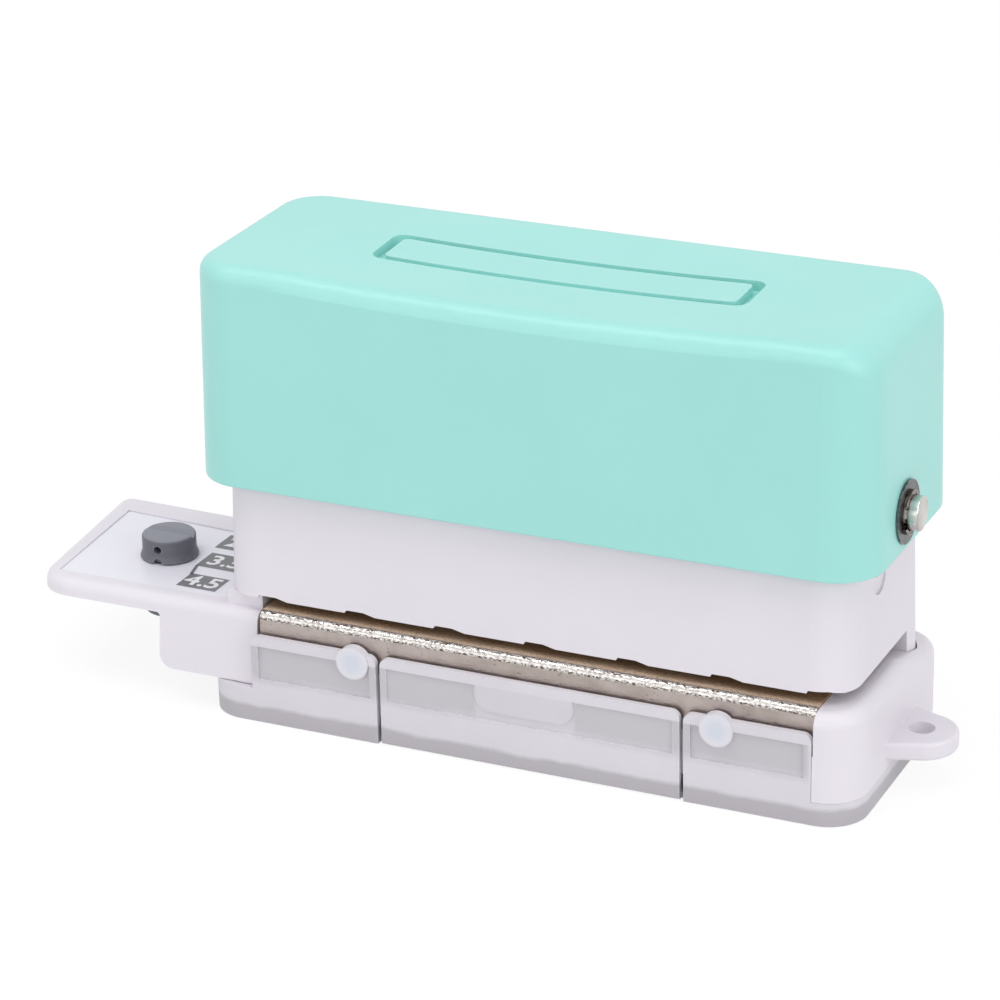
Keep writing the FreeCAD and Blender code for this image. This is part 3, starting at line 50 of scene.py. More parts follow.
def mathNode(tree, operation, at, first, second=None, clamp=False):
    node = putNode(tree, "ShaderNodeMath", at, operation=operation, use_clamp=clamp)
    for index, value in enumerate((first, second)):
        if value is None:
            continue
        if isinstance(value, (int, float)):
            node.inputs[index].default_value = value
        else:
            tree.links.new(value, node.inputs[index])
    return node.outputs[0]


def rampNode(tree, at, source, low, high, toLow=0.0, toHigh=1.0):
    node = putNode(tree, "ShaderNodeMapRange", at, clamp=True)
    tree.links.new(source, node.inputs["Value"])
    for name, value in (("From Min", low), ("From Max", high), ("To Min", toLow), ("To Max", toHigh)):
        node.inputs[name].default_value = value
    return node.outputs["Result"]


def noiseNode(tree, at, vector, scale, detail=2.0, roughness=0.5):
    node = putNode(tree, "ShaderNodeTexNoise", at)
    tree.links.new(vector, node.inputs["Vector"])
    if isinstance(scale, (int, float)):
        node.inputs["Scale"].default_value = scale
    else:
        tree.links.new(scale, node.inputs["Scale"])
    node.inputs["Detail"].default_value = detail
    node.inputs["Roughness"].default_value = roughness
    return node.outputs["Fac"]


def blendNode(tree, at, factor, first, second):
    node = putNode(tree, "ShaderNodeMix", at, data_type="RGBA")
    for name, value in (("Factor", factor), ("A", first), ("B", second)):
        wanted = "VALUE" if name == "Factor" else "RGBA"
        socket = [s for s in node.inputs if s.name == name and s.type == wanted][0]
        if isinstance(value, tuple):
            socket.default_value = (*value[:3], 1.0)
        else:
            tree.links.new(value, socket)
    return [s for s in node.outputs if s.type == "RGBA"][0]


def stretch(tree, at, vector, scale):
    node = putNode(tree, "ShaderNodeMapping", at)
    tree.links.new(vector, node.inputs["Vector"])
    node.inputs["Scale"].default_value = scale
    return node.outputs["Vector"]


def splitPlace(tree, at, place):
    axes = putNode(tree, "ShaderNodeSeparateXYZ", at)
    tree.links.new(place, axes.inputs["Vector"])
    return axes.outputs["X"], axes.outputs["Y"], axes.outputs["Z"]


def newGroup(name, inputs, outputs):
    # each effect takes a place and plain numbers, and gives plain numbers
    group = bpy.data.node_groups.new(name, "ShaderNodeTree")
    group.interface.new_socket(name="Place", in_out="INPUT", socket_type="NodeSocketVector")
    for label in inputs:
        group.interface.new_socket(name=label, in_out="INPUT", socket_type="NodeSocketFloat")
    for label in outputs:
        group.interface.new_socket(name=label, in_out="OUTPUT", socket_type="NodeSocketFloat")
    entry = putNode(group, "NodeGroupInput", (-900, 0))
    leave = putNode(group, "NodeGroupOutput", (700, 0))
    return group, entry, leave


def useGroup(tree, group, at, place, **values):
    node = putNode(tree, "ShaderNodeGroup", at, node_tree=group)
    tree.links.new(place, node.inputs["Place"])
    for name, value in values.items():
        node.inputs[name].default_value = value
    return node


# effects shared by several finishes
def makeMouldGrain(look):
    # fine spark-eroded skin, a slow waviness under it and a cloudy tone
    group, entry, leave = newGroup("mouldGrain", ("Grain", "Wave", "Cloud"), ("Height", "Tone", "Gloss"))
    place = entry.outputs["Place"]
    grain = noiseNode(group, (-600, 200), place, entry.outputs["Grain"], detail=3.0, roughness=0.6)
    wave = noiseNode(group, (-600, 0), place, entry.outputs["Wave"], detail=2.0, roughness=0.45)
    cloud = noiseNode(group, (-600, -200), place, entry.outputs["Cloud"], detail=4.0, roughness=0.55)
    fine = mathNode(group, "MULTIPLY", (-300, 200), grain, look["grainShare"])
    height = mathNode(group, "ADD", (0, 100), fine, wave)
    group.links.new(height, leave.inputs["Height"])
    group.links.new(rampNode(group, (-300, -200), cloud, *look["toneSpan"]), leave.inputs["Tone"])
    group.links.new(rampNode(group, (-300, -400), grain, *look["glossSpan"]), leave.inputs["Gloss"])
    return group


def makeEdgeRubAndHighlight(look):
    # where corners and rims turn lighter: partly polished by use, partly a painted highlight
    group, entry, leave = newGroup("edgeRub", ("Width", "Strength"), ("Mask",))
    soft = putNode(group, "ShaderNodeBevel", (-600, 100), samples=look["samples"])
    group.links.new(entry.outputs["Width"], soft.inputs["Radius"])
    plain = putNode(group, "ShaderNodeNewGeometry", (-600, -100))
    angle = putNode(group, "ShaderNodeVectorMath", (-400, 0), operation="DOT_PRODUCT")
    group.links.new(soft.outputs["Normal"], angle.inputs[0])
    group.links.new(plain.outputs["Normal"], angle.inputs[1])
    rim = rampNode(group, (-200, 0), angle.outputs["Value"], *look["rimSpan"])
    patches = noiseNode(group, (-400, -250), entry.outputs["Place"], look["patchScale"], detail=3.0)
    broken = rampNode(group, (-200, -250), patches, *look["patchSpan"])
    rubbedAndHighlit = mathNode(group, "MULTIPLY", (100, 0), rim, broken)
    mask = mathNode(group, "MULTIPLY", (300, 0), rubbedAndHighlit, entry.outputs["Strength"], clamp=True)
    group.links.new(mask, leave.inputs["Mask"])
    return group


def makeHandling(look):
    # faint hairlines one way and the other, and soft finger smudges
    group, entry, leave = newGroup("handling", ("Hairline", "Smudge"), ("Lines", "Smear"))
    place = entry.outputs["Place"]
    lines = []
    for index, scale in enumerate(look["runs"]):
        level = 300 - 300 * index
        run = stretch(group, (-700, level), place, scale)
        streak = noiseNode(group, (-450, level), run, entry.outputs["Hairline"], detail=5.0, roughness=0.7)
        lines.append(rampNode(group, (-200, level), streak, *look["lineSpan"]))
    group.links.new(mathNode(group, "MAXIMUM", (50, 200), *lines), leave.inputs["Lines"])
    smear = noiseNode(group, (-450, -400), place, entry.outputs["Smudge"], detail=3.0, roughness=0.6)
    group.links.new(rampNode(group, (-200, -400), smear, *look["smearSpan"]), leave.inputs["Smear"])
    return group


def makePlating(look):
    # orange-peel of nickel on rolled sheet, with dark pits and stains
    group, entry, leave = newGroup("plating", ("Peel", "Pit"), ("Height", "Pits", "Stain"))
    place = entry.outputs["Place"]
    rolled = stretch(group, (-700, 300), place, look["rolled"])
    peel = noiseNode(group, (-450, 300), rolled, entry.outputs["Peel"], detail=4.0, roughness=0.62)
    cells = putNode(group, "ShaderNodeTexVoronoi", (-450, 0), feature="F1")
    group.links.new(place, cells.inputs["Vector"])
    group.links.new(entry.outputs["Pit"], cells.inputs["Scale"])
    patches = noiseNode(group, (-700, -250), place, look["patchScale"], detail=3.0)
    gate = rampNode(group, (-450, -250), patches, *look["patchSpan"])
    hollow = rampNode(group, (-200, 0), cells.outputs["Distance"], *look["pitSpan"])
    pit = mathNode(group, "MULTIPLY", (-50, 0), hollow, gate)
    sunk = mathNode(group, "MULTIPLY", (50, 100), pit, look["pitDepth"])
    group.links.new(mathNode(group, "SUBTRACT", (250, 200), peel, sunk), leave.inputs["Height"])
    group.links.new(pit, leave.inputs["Pits"])
    stain = noiseNode(group, (-450, -500), place, look["stainScale"], detail=4.0, roughness=0.6)
    group.links.new(rampNode(group, (-200, -500), stain, *look["stainSpan"]), leave.inputs["Stain"])
    return group


def makeTurning(look):
    # tool lines round a turned or drawn bar
    group, entry, leave = newGroup("turning", (), ("Height", "Band"))
    place = entry.outputs["Place"]
    lines = noiseNode(group, (-450, 200), place, look["lineScale"], detail=4.0, roughness=0.7)
    band = noiseNode(group, (-450, -100), place, look["bandScale"])
    group.links.new(lines, leave.inputs["Height"])
    group.links.new(rampNode(group, (-200, -100), band, *look["bandSpan"]), leave.inputs["Band"])
    return group


mouldGrain = makeMouldGrain(dict(grainShare=0.35, toneSpan=(0.32, 0.68), glossSpan=(0.3, 0.7)))
edgeRub = makeEdgeRubAndHighlight(dict(samples=4, rimSpan=(0.985, 0.86), patchScale=900.0, patchSpan=(0.35, 0.62)))
handling = makeHandling(dict(runs=((1.0, 14.0, 9.0), (16.0, 1.2, 7.0)), lineSpan=(0.70, 0.76),
                             smearSpan=(0.5, 0.72)))
plating = makePlating(dict(rolled=(0.5, 1.0, 1.0), patchScale=420.0, patchSpan=(0.5, 0.62),
                           pitSpan=(0.34, 0.18), pitDepth=0.5, stainScale=160.0, stainSpan=(0.4, 0.7)))
turning = makeTurning(dict(lineScale=1000.0, bandScale=140.0, bandSpan=(0.35, 0.65)))
print("shared effects ready")


# the finishes themselves
def startMaterial(name):
    material = bpy.data.materials.new(name)
    material.use_nodes = True
    tree = material.node_tree
    tree.nodes.clear()
    out = putNode(tree, "ShaderNodeOutputMaterial", (900, 0))
    shader = putNode(tree, "ShaderNodeBsdfPrincipled", (600, 0))
    tree.links.new(shader.outputs["BSDF"], out.inputs["Surface"])
    place = putNode(tree, "ShaderNodeTexCoord", (-1200, 0)).outputs["Object"]
    return material, tree, shader, place


def addBump(tree, shader, height, depth):
    bump = putNode(tree, "ShaderNodeBump", (300, -400))
    bump.inputs["Strength"].default_value = 1.0
    bump.inputs["Distance"].default_value = depth
    tree.links.new(height, bump.inputs["Height"])
    tree.links.new(bump.outputs["Normal"], shader.inputs["Normal"])


def addSkin(tree, place, look):
    return useGroup(tree, mouldGrain, (-900, 500), place, Grain=look["grain"], Wave=look["wave"],
                    Cloud=look["cloud"])


def addRubAndHighlight(tree, place, look):
    return useGroup(tree, edgeRub, (-900, 200), place, Width=look["rubAndHighlightWidth"], Strength=look["rubAndHighlight"])


def addMarks(tree, place, look):
    return useGroup(tree, handling, (-900, -400), place, Hairline=look["lineScale"],
                    Smudge=look["smearScale"])


def setShine(shader, look):
    shader.inputs["IOR"].default_value = look["ior"]
    shader.inputs["Specular IOR Level"].default_value = look["shine"]


def makePlastic(look):
    # moulded plastic: cloudy tone, lighter edges that are partly rubbed and partly painted highlight,
    # painted light on upward faces where the look gives a tone for it, hairlines and smudges in the gloss
    material, tree, shader, place = startMaterial(look["name"])
    skin = addSkin(tree, place, look)
    rubAndHighlight = addRubAndHighlight(tree, place, look)
    marks = addMarks(tree, place, plasticMarks)
    tone = blendNode(tree, (-500, 300), skin.outputs["Tone"], look["deep"], look["light"])
    # painted light: faces turned upwards are blended to a lighter tone, as if lit from above
    if "paintedTopLight" in look:
        geometry = putNode(tree, "ShaderNodeNewGeometry", (-900, 800))
        facing = splitPlace(tree, (-700, 800), geometry.outputs["Normal"])[2]
        upward = rampNode(tree, (-500, 800), facing, *look["paintedTopLightSpan"])
        tone = blendNode(tree, (-350, 450), upward, tone, look["paintedTopLight"])
    # lighter edges: partly rubbing, partly painted highlight
    bright = blendNode(tree, (-200, 300), rubAndHighlight.outputs["Mask"], tone, look["edge"])
    tree.links.new(bright, shader.inputs["Base Color"])
    gloss = rampNode(tree, (-500, 0), skin.outputs["Gloss"], 0.0, 1.0, *look["roughness"])
    smear = mathNode(tree, "MULTIPLY", (-500, -200), marks.outputs["Smear"], look["smudge"])
    lines = mathNode(tree, "MULTIPLY", (-500, -400), marks.outputs["Lines"], look["hairline"])
    dull = mathNode(tree, "ADD", (-200, -100), gloss, smear)
    tree.links.new(mathNode(tree, "ADD", (0, -100), dull, lines), shader.inputs["Roughness"])
    scored = mathNode(tree, "MULTIPLY", (-200, -500), lines, plasticMarks["lineDepth"])
    height = mathNode(tree, "SUBTRACT", (0, -400), skin.outputs["Height"], scored)
    addBump(tree, shader, height, look["bump"])
    setShine(shader, look)
    return material


def makePlated(look):
    # nickel on folded sheet steel
    material, tree, shader, place = startMaterial(look["name"])
    coat = useGroup(tree, plating, (-900, 500), place, Peel=look["peel"], Pit=look["pit"])
    rubAndHighlight = addRubAndHighlight(tree, place, look)
    tone = blendNode(tree, (-500, 300), coat.outputs["Stain"], look["light"], look["deep"])
    pitted = blendNode(tree, (-250, 300), coat.outputs["Pits"], tone, look["pitTone"])
    # lighter rims: partly rubbing, partly painted highlight
    rubbedAndHighlit = blendNode(tree, (0, 300), rubAndHighlight.outputs["Mask"], pitted, look["edge"])
    tree.links.new(rubbedAndHighlit, shader.inputs["Base Color"])
    dull = rampNode(tree, (0, -100), coat.outputs["Stain"], 0.0, 1.0, *look["roughness"])
    tree.links.new(dull, shader.inputs["Roughness"])
    shader.inputs["Metallic"].default_value = 1.0
    addBump(tree, shader, coat.outputs["Height"], look["bump"])
    return material


def makeFrosted(look):
    # translucent moulding: the foot band and the thin panels are painted greyer than the rims with painted
    # shade, the grey of the shadowed inside seen through the wall; the studs clearer
    material, tree, shader, place = startMaterial(look["name"])
    skin = addSkin(tree, place, look)
    rubAndHighlight = addRubAndHighlight(tree, place, look)
    across, deep, tall = splitPlace(tree, (-1000, -100), place)
    soft, mist, crisp = (look[name] for name in ("soft", "mist", "crisp"))
    waver = noiseNode(tree, (-1200, -300), place, look["rippleScale"], detail=4.0, roughness=0.6)
    ripple = rampNode(tree, (-1000, -300), waver, *look["rippleSpan"], -look["ripple"], look["ripple"])
    level = mathNode(tree, "ADD", (-800, -200), tall, ripple)
    foot = rampNode(tree, (-600, -100), level, look["footTop"] + soft, look["footTop"] - soft)
    above = rampNode(tree, (-600, -300), level, look["panelLow"] - mist, look["panelLow"] + mist)
    below = rampNode(tree, (-600, -500), tall, look["panelHigh"] + crisp, look["panelHigh"] - crisp)
    inFront = mathNode(tree, "LESS_THAN", (-600, -700), deep, look["panelFront"])
    beforeEnd = rampNode(tree, (-600, -900), across, look["panelEnd"] + soft, look["panelEnd"] - soft)
    fromLip = mathNode(tree, "SUBTRACT", (-900, -1100), across, look["lipMiddle"])
    lipAway = mathNode(tree, "ABSOLUTE", (-750, -1100), fromLip)
    besideLip = rampNode(tree, (-600, -1100), lipAway, look["lipHalf"] - soft, look["lipHalf"] + soft)
    lipFade = rampNode(tree, (-450, -1100), besideLip, 0.0, 1.0, look["lipShadeShare"], 1.0)
    # masks for the painted shade seen through the panels, less of it at the lip
    panel = above
    for index, mask in enumerate((below, inFront, beforeEnd, lipFade, look["panelShadeShare"])):
        panel = mathNode(tree, "MULTIPLY", (-400 + 80 * index, -500), panel, mask)
    flat = putNode(tree, "ShaderNodeCombineXYZ", (-900, -1500))
    tree.links.new(across, flat.inputs["X"])
    tree.links.new(tall, flat.inputs["Z"])
    studAway = []
    for index, (studX, studZ) in enumerate(look["studs"]):
        away = putNode(tree, "ShaderNodeVectorMath", (-700, -1500 - 200 * index), operation="DISTANCE")
        tree.links.new(flat.outputs["Vector"], away.inputs[0])
        away.inputs[1].default_value = (studX, 0.0, studZ)
        studAway.append(away.outputs["Value"])
    reach = mathNode(tree, "MINIMUM", (-500, -1500), *studAway)
    mellow = blendNode(tree, (-500, 500), skin.outputs["Tone"], look["deep"], look["light"])
    # painted shade: the panels take the grey of the shadowed inside behind the wall
    seen = blendNode(tree, (-300, 400), panel, mellow, look["shadeBehind"])
    # painted shade: the foot band is darkened the same way
    footShade = mathNode(tree, "MULTIPLY", (-100, -100), foot, look["footShadeShare"])
    seen = blendNode(tree, (-100, 400), footShade, seen, look["shadeBehind"])
    for index, part in enumerate(("ring", "core")):
        span = rampNode(tree, (-300, -1500 - 200 * index), reach, *look[part + "Span"])
        disc = mathNode(tree, "MULTIPLY", (-100, -1500 - 200 * index), inFront, span)
        seen = blendNode(tree, (100 + 150 * index, 600), disc, seen, look[part])
    # lighter rims: partly rubbing, partly painted highlight
    rubbedAndHighlit = blendNode(tree, (400, 400), rubAndHighlight.outputs["Mask"], seen, look["edge"])
    tree.links.new(rubbedAndHighlit, shader.inputs["Base Color"])
    gloss = rampNode(tree, (100, 100), skin.outputs["Gloss"], 0.0, 1.0, *look["roughness"])
    tree.links.new(gloss, shader.inputs["Roughness"])
    addBump(tree, shader, skin.outputs["Height"], look["bump"])
    setShine(shader, look)
    shader.inputs["Transmission Weight"].default_value = look["clear"]
    return material


def makeDiePlate(look):
    # nickel die plate: satin front leg, a bend painted lighter as a highlight and partly burnished,
    # between two stippled lines, and a brown top that is painted reflection, lighter near the bend and
    # darkening into painted shade under the body
    material, tree, shader, place = startMaterial(look["name"])
    coat = useGroup(tree, plating, (-900, 500), place, Peel=look["peel"], Pit=look["pit"])
    deep, tall = splitPlace(tree, (-1000, -100), place)[1:]
    bend = rampNode(tree, (-700, 100), tall, *look["bendStart"])
    top = rampNode(tree, (-700, -100), deep, *look["topStart"])
    drawn = stretch(tree, (-1050, -450), place, look["mottleRun"])
    mottle = noiseNode(tree, (-900, -450), drawn, look["mottle"], detail=3.0)
    uneven = rampNode(tree, (-700, -450), mottle, *look["mottleSpan"], -look["uneven"], look["uneven"])
    # painted shade: the top darkens farther back under the body, broken by random mottle
    farther = rampNode(tree, (-700, -300), deep, *look["topFade"])
    topShadeMask = mathNode(tree, "ADD", (-550, -300), farther, uneven, clamp=True)
    rows = []
    for index, (source, middle, half) in enumerate(((tall, *look["lowRow"]), (deep, *look["highRow"]))):
        level = -500 - 200 * index
        offset = mathNode(tree, "SUBTRACT", (-800, level), source, middle)
        away = mathNode(tree, "ABSOLUTE", (-650, level), offset)
        rows.append(rampNode(tree, (-500, level), away, half, half * look["rowCore"]))
    row = mathNode(tree, "MAXIMUM", (-300, -600), *rows)
    struck = stretch(tree, (-700, -900), place, look["stippleRun"])
    stipple = noiseNode(tree, (-500, -900), struck, look["stipple"], detail=3.0, roughness=0.65)
    rowDots = rampNode(tree, (-300, -900), stipple, *look["dotSpan"])
    rowDots = mathNode(tree, "MULTIPLY", (-100, -700), row, rowDots)
    specks = rampNode(tree, (-500, -1100), stipple, *look["speckSpan"])
    specks = mathNode(tree, "MULTIPLY", (-300, -1100), bend, specks)
    specks = mathNode(tree, "MULTIPLY", (-100, -1100), specks, look["speck"])
    dots = mathNode(tree, "MAXIMUM", (50, -800), rowDots, specks)
    leg = blendNode(tree, (-500, 500), coat.outputs["Stain"], look["leg"], look["legDeep"])
    pits = mathNode(tree, "MULTIPLY", (-500, 300), coat.outputs["Pits"], look["pitShare"])
    leg = blendNode(tree, (-350, 500), pits, leg, look["pitTone"])
    # painted highlight on the bend, which is also burnished
    plate = blendNode(tree, (-200, 500), bend, leg, look["bend"])
    # painted reflection and shade on the top: lighter near the bend, darker under the body
    dull = blendNode(tree, (-350, 250), topShadeMask, look["topReflectionNear"], look["topShadeFar"])
    plate = blendNode(tree, (-50, 500), top, plate, dull)
    tree.links.new(blendNode(tree, (100, 500), dots, plate, look["dotTone"]), shader.inputs["Base Color"])
    gloss = rampNode(tree, (0, 200), bend, 0.0, 1.0, look["legRoughness"], look["bendRoughness"])
    matt = rampNode(tree, (0, 50), top, 0.0, 1.0, 0.0, look["topRoughness"])
    tree.links.new(mathNode(tree, "MAXIMUM", (200, 200), gloss, matt), shader.inputs["Roughness"])
    metal = rampNode(tree, (200, 0), top, 0.0, 1.0, 1.0, look["topMetal"])
    tree.links.new(metal, shader.inputs["Metallic"])
    addBump(tree, shader, coat.outputs["Height"], look["bump"])
    return material


def makeTurned(look):
    # bars, pins, washers and wire: lines run round the axis given by the stretch
    material, tree, shader, place = startMaterial(look["name"])
    run = stretch(tree, (-1100, 600), place, look["run"])
    tool = useGroup(tree, turning, (-900, 600), run)
    rubAndHighlight = addRubAndHighlight(tree, place, turnedMarks)
    marks = addMarks(tree, place, turnedMarks)
    tone = blendNode(tree, (-300, 300), tool.outputs["Band"], look["deep"], look["light"])
    # lighter edges: partly rubbing, partly painted highlight
    rubbedAndHighlit = blendNode(tree, (0, 300), rubAndHighlight.outputs["Mask"], tone, look["edge"])
    tree.links.new(rubbedAndHighlit, shader.inputs["Base Color"])
    dull = rampNode(tree, (0, -100), marks.outputs["Smear"], 0.0, 1.0, *look["roughness"])
    tree.links.new(dull, shader.inputs["Roughness"])
    shader.inputs["Metallic"].default_value = 1.0
    addBump(tree, shader, tool.outputs["Height"], look["bump"])
    return material


plasticMarks = dict(lineScale=90.0, smearScale=55.0, lineDepth=0.6)
turnedMarks = dict(lineScale=400.0, smearScale=160.0, rubAndHighlight=1.0, rubAndHighlightWidth=0.0003)
mintLook = dict(name="mintPlastic", light=(0.363, 0.753, 0.709), deep=(0.349, 0.733, 0.688),
                edge=(0.46, 0.83, 0.79), grain=5200.0, wave=150.0, cloud=34.0, rubAndHighlight=0.35, rubAndHighlightWidth=0.0009,
                roughness=(0.30, 0.40), smudge=0.05, hairline=0.10, bump=0.00003, ior=1.5, shine=0.5)
whiteLook = dict(name="whitePlastic", light=(0.800, 0.760, 0.822), deep=(0.780, 0.742, 0.804),
                 edge=(0.86, 0.84, 0.88), grain=4800.0, wave=170.0, cloud=40.0, rubAndHighlight=0.4, rubAndHighlightWidth=0.0007,
                 roughness=(0.38, 0.48), smudge=0.06, hairline=0.10, bump=0.00003, ior=1.48, shine=0.45)
panelLook = dict(name="panelPlastic", light=(0.862, 0.842, 0.920), deep=(0.842, 0.824, 0.902),
                 edge=(0.90, 0.90, 0.94), grain=6500.0, wave=260.0, cloud=60.0, rubAndHighlight=0.4, rubAndHighlightWidth=0.0004,
                 roughness=(0.30, 0.40), smudge=0.06, hairline=0.12, bump=0.00002, ior=1.5, shine=0.5)
greyLook = dict(name="greyPlastic", light=(0.142, 0.144, 0.171), deep=(0.128, 0.130, 0.155),
                paintedTopLight=(0.248, 0.251, 0.296), paintedTopLightSpan=(0.55, 0.85), edge=(0.30, 0.31, 0.33), grain=5200.0,
                wave=300.0, cloud=120.0, rubAndHighlight=0.7, rubAndHighlightWidth=0.0005, roughness=(0.40, 0.52), smudge=0.05,
                hairline=0.12, bump=0.00003, ior=1.5, shine=0.5)
frostedLook = dict(name="frostedPlastic", light=(0.860, 0.825, 0.885), deep=(0.820, 0.785, 0.845),
                   edge=(0.97, 0.96, 1.00), shadeBehind=(0.500, 0.475, 0.510), grain=3600.0, wave=210.0,
                   cloud=48.0, rubAndHighlight=0.8, rubAndHighlightWidth=0.00028, roughness=(0.36, 0.46), bump=0.00003, ior=1.46,
                   shine=0.5, clear=0.18, rippleScale=130.0, rippleSpan=(0.3, 0.7), ripple=0.00035,
                   soft=0.0005, mist=0.0013, crisp=0.0001, footTop=0.0034, footShadeShare=0.80,
                   panelLow=0.0095, panelHigh=0.0165, panelFront=-0.0235, panelEnd=0.0590, panelShadeShare=0.50,
                   lipMiddle=0.0014, lipHalf=0.0103, lipShadeShare=0.35,
                   studs=((-0.0347, 0.0166), (0.0408, 0.0163)), ring=(0.90, 0.89, 0.95),
                   ringSpan=(0.0036, 0.0030), core=(0.80, 0.83, 0.93), coreSpan=(0.0030, 0.0012))
dieLook = dict(name="nickelDie", leg=(0.485, 0.422, 0.393), legDeep=(0.388, 0.330, 0.301),
               pitTone=(0.20, 0.15, 0.12), pitShare=0.55, bend=(0.60, 0.575, 0.555),
               dotTone=(0.09, 0.06, 0.045), topReflectionNear=(0.84, 0.64, 0.48), topShadeFar=(0.42, 0.27, 0.155),
               bendStart=(0.0213, 0.0218), topStart=(-0.0232, -0.0227), topFade=(-0.0227, -0.0200),
               lowRow=(0.0218, 0.00050), highRow=(-0.0235, 0.00060), rowCore=0.2, peel=1500.0, pit=1000.0,
               mottle=260.0, mottleRun=(0.3, 1.0, 1.0), mottleSpan=(0.3, 0.7), uneven=0.35, stipple=2600.0,
               stippleRun=(0.55, 1.0, 1.0), dotSpan=(0.46, 0.56), speck=0.45, speckSpan=(0.52, 0.60),
               legRoughness=0.33, bendRoughness=0.22, topRoughness=0.5, topMetal=0.25, bump=0.00008)
nickelLook = dict(name="nickelPlate", light=(0.74, 0.70, 0.64), deep=(0.60, 0.53, 0.44),
                  pitTone=(0.16, 0.12, 0.09), edge=(0.86, 0.83, 0.78), peel=1500.0, pit=1000.0, rubAndHighlight=0.8,
                  rubAndHighlightWidth=0.0004, roughness=(0.17, 0.30), bump=0.00010)
brightLook = dict(name="brightSteel", light=(0.66, 0.64, 0.61), deep=(0.26, 0.245, 0.225),
                  edge=(0.85, 0.84, 0.82), run=(6.0, 0.6, 0.6), roughness=(0.12, 0.26), bump=0.000012)
clipLook = dict(name="brownClip", light=(0.21, 0.16, 0.13), deep=(0.075, 0.055, 0.045),
                edge=(0.55, 0.52, 0.50), run=(6.0, 0.6, 0.6), roughness=(0.10, 0.20), bump=0.000012)
washerLook = dict(name="darkWasher", light=(0.105, 0.105, 0.115), deep=(0.060, 0.064, 0.070),
                  edge=(0.50, 0.50, 0.49), run=(0.6, 2.0, 2.0), roughness=(0.24, 0.38), bump=0.00002)
pinLook = dict(name="groundPins", light=(0.62, 0.61, 0.60), deep=(0.50, 0.49, 0.48),
               edge=(0.80, 0.79, 0.78), run=(0.6, 0.6, 6.0), roughness=(0.18, 0.30), bump=0.000012)
springLook = dict(name="springWire", light=(0.46, 0.46, 0.48), deep=(0.34, 0.34, 0.36),
                  edge=(0.60, 0.60, 0.61), run=(1.0, 1.0, 1.0), roughness=(0.26, 0.38), bump=0.00001)
screwLook = dict(name="zincScrew", light=(0.66, 0.66, 0.69), deep=(0.52, 0.52, 0.56),
                 edge=(0.84, 0.84, 0.86), run=(3.0, 3.0, 0.6), roughness=(0.22, 0.34), bump=0.000015)

finishes = {
    "mint_plastic": makePlastic(mintLook), "white_plastic": makePlastic(whiteLook),
    "panel_plastic": makePlastic(panelLook), "grey_plastic": makePlastic(greyLook),
    "frosted_plastic": makeFrosted(frostedLook), "nickel_steel": makePlated(nickelLook),
    "polished_steel": makeTurned(brightLook), "dark_steel": makeTurned(washerLook),
    "pin_steel": makeTurned(pinLook), "spring_steel": makeTurned(springLook),
    "screw_steel": makeTurned(screwLook),
}

for entry in frame["record"]["subparts"]:
    node = frame["nodes"][entry["node"]]
    node.data.materials.clear()
    node.data.materials.append(finishes[entry["material_slot"]])
frame["nodes"]["die_plate"].data.materials[0] = makeDiePlate(dieLook)
brownClip = makeTurned(clipLook)
for side in ("left", "right"):
    frame["nodes"]["retaining_clip_" + side].data.materials[0] = brownClip


# the printed scale beside the dial: grey blocks with plain white figures, and a thin line that joins them
def makeInk(look):
    material, tree, shader, place = startMaterial(look["name"])
    skin = addSkin(tree, place, inkSkin)
    tone = blendNode(tree, (-200, 200), skin.outputs["Tone"], look["deep"], look["light"])
    tree.links.new(tone, shader.inputs["Base Color"])
    gloss = rampNode(tree, (-200, -100), skin.outputs["Gloss"], 0.0, 1.0, *inkSkin["roughness"])
    tree.links.new(gloss, shader.inputs["Roughness"])
    addBump(tree, shader, skin.outputs["Height"], inkSkin["bump"])
    return material


def placePiece(piece, name, material, turn, at):
    # settle the piece: its place goes into its mesh, its object stays at the origin
    piece.name = name
    piece.data.name = name
    piece.data.transform(Matrix.Translation(Vector(at)) @ Matrix.Rotation(math.radians(turn), 4, "Z"))
    piece.data.materials.clear()
    piece.data.materials.append(material)
    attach(piece, "machine")


def printBlock(name, half, look, material, turn, at):
    # a thin printed field with softly cut corners
    bpy.ops.object.select_all(action="DESELECT")
    bpy.ops.mesh.primitive_grid_add(x_subdivisions=4, y_subdivisions=4, size=2.0, location=(0, 0, 0))
    block = bpy.context.object
    bpy.ops.object.mode_set(mode="EDIT")
    bpy.ops.mesh.select_all(action="SELECT")
    bpy.ops.transform.resize(value=(half[0], half[1], 1.0))
    bpy.ops.mesh.extrude_region_move(TRANSFORM_OT_translate={"value": (0, 0, look["ink"])})
    bpy.ops.mesh.select_all(action="SELECT")
    bpy.ops.mesh.normals_make_consistent(inside=False)
    bpy.ops.object.mode_set(mode="OBJECT")
    soften = block.modifiers.new("cornerCut", "BEVEL")
    soften.width = look["corner"]
    soften.segments = look["cornerSteps"]
    soften.limit_method = "ANGLE"
    bpy.ops.object.modifier_apply(modifier="cornerCut")
    placePiece(block, name, material, turn, at)


def printFigure(name, figure, look, material, turn, at):
    bpy.ops.object.select_all(action="DESELECT")
    bpy.ops.object.text_add(location=(0, 0, 0))
    words = bpy.context.object
    words.data.body = figure
    words.data.align_x = "CENTER"
    words.data.align_y = "CENTER"
    words.data.size = look["figureSize"]
    words.data.offset = look["figureBold"]
    words.data.extrude = look["ink"] / 2
    words.data.resolution_u = look["figureSteps"]
    bpy.ops.object.convert(target="MESH")
    letters = bpy.context.object
    letters.data.transform(Matrix.Diagonal((look["figureWide"], 1.0, 1.0, 1.0)))
    placePiece(letters, name, material, turn, at)


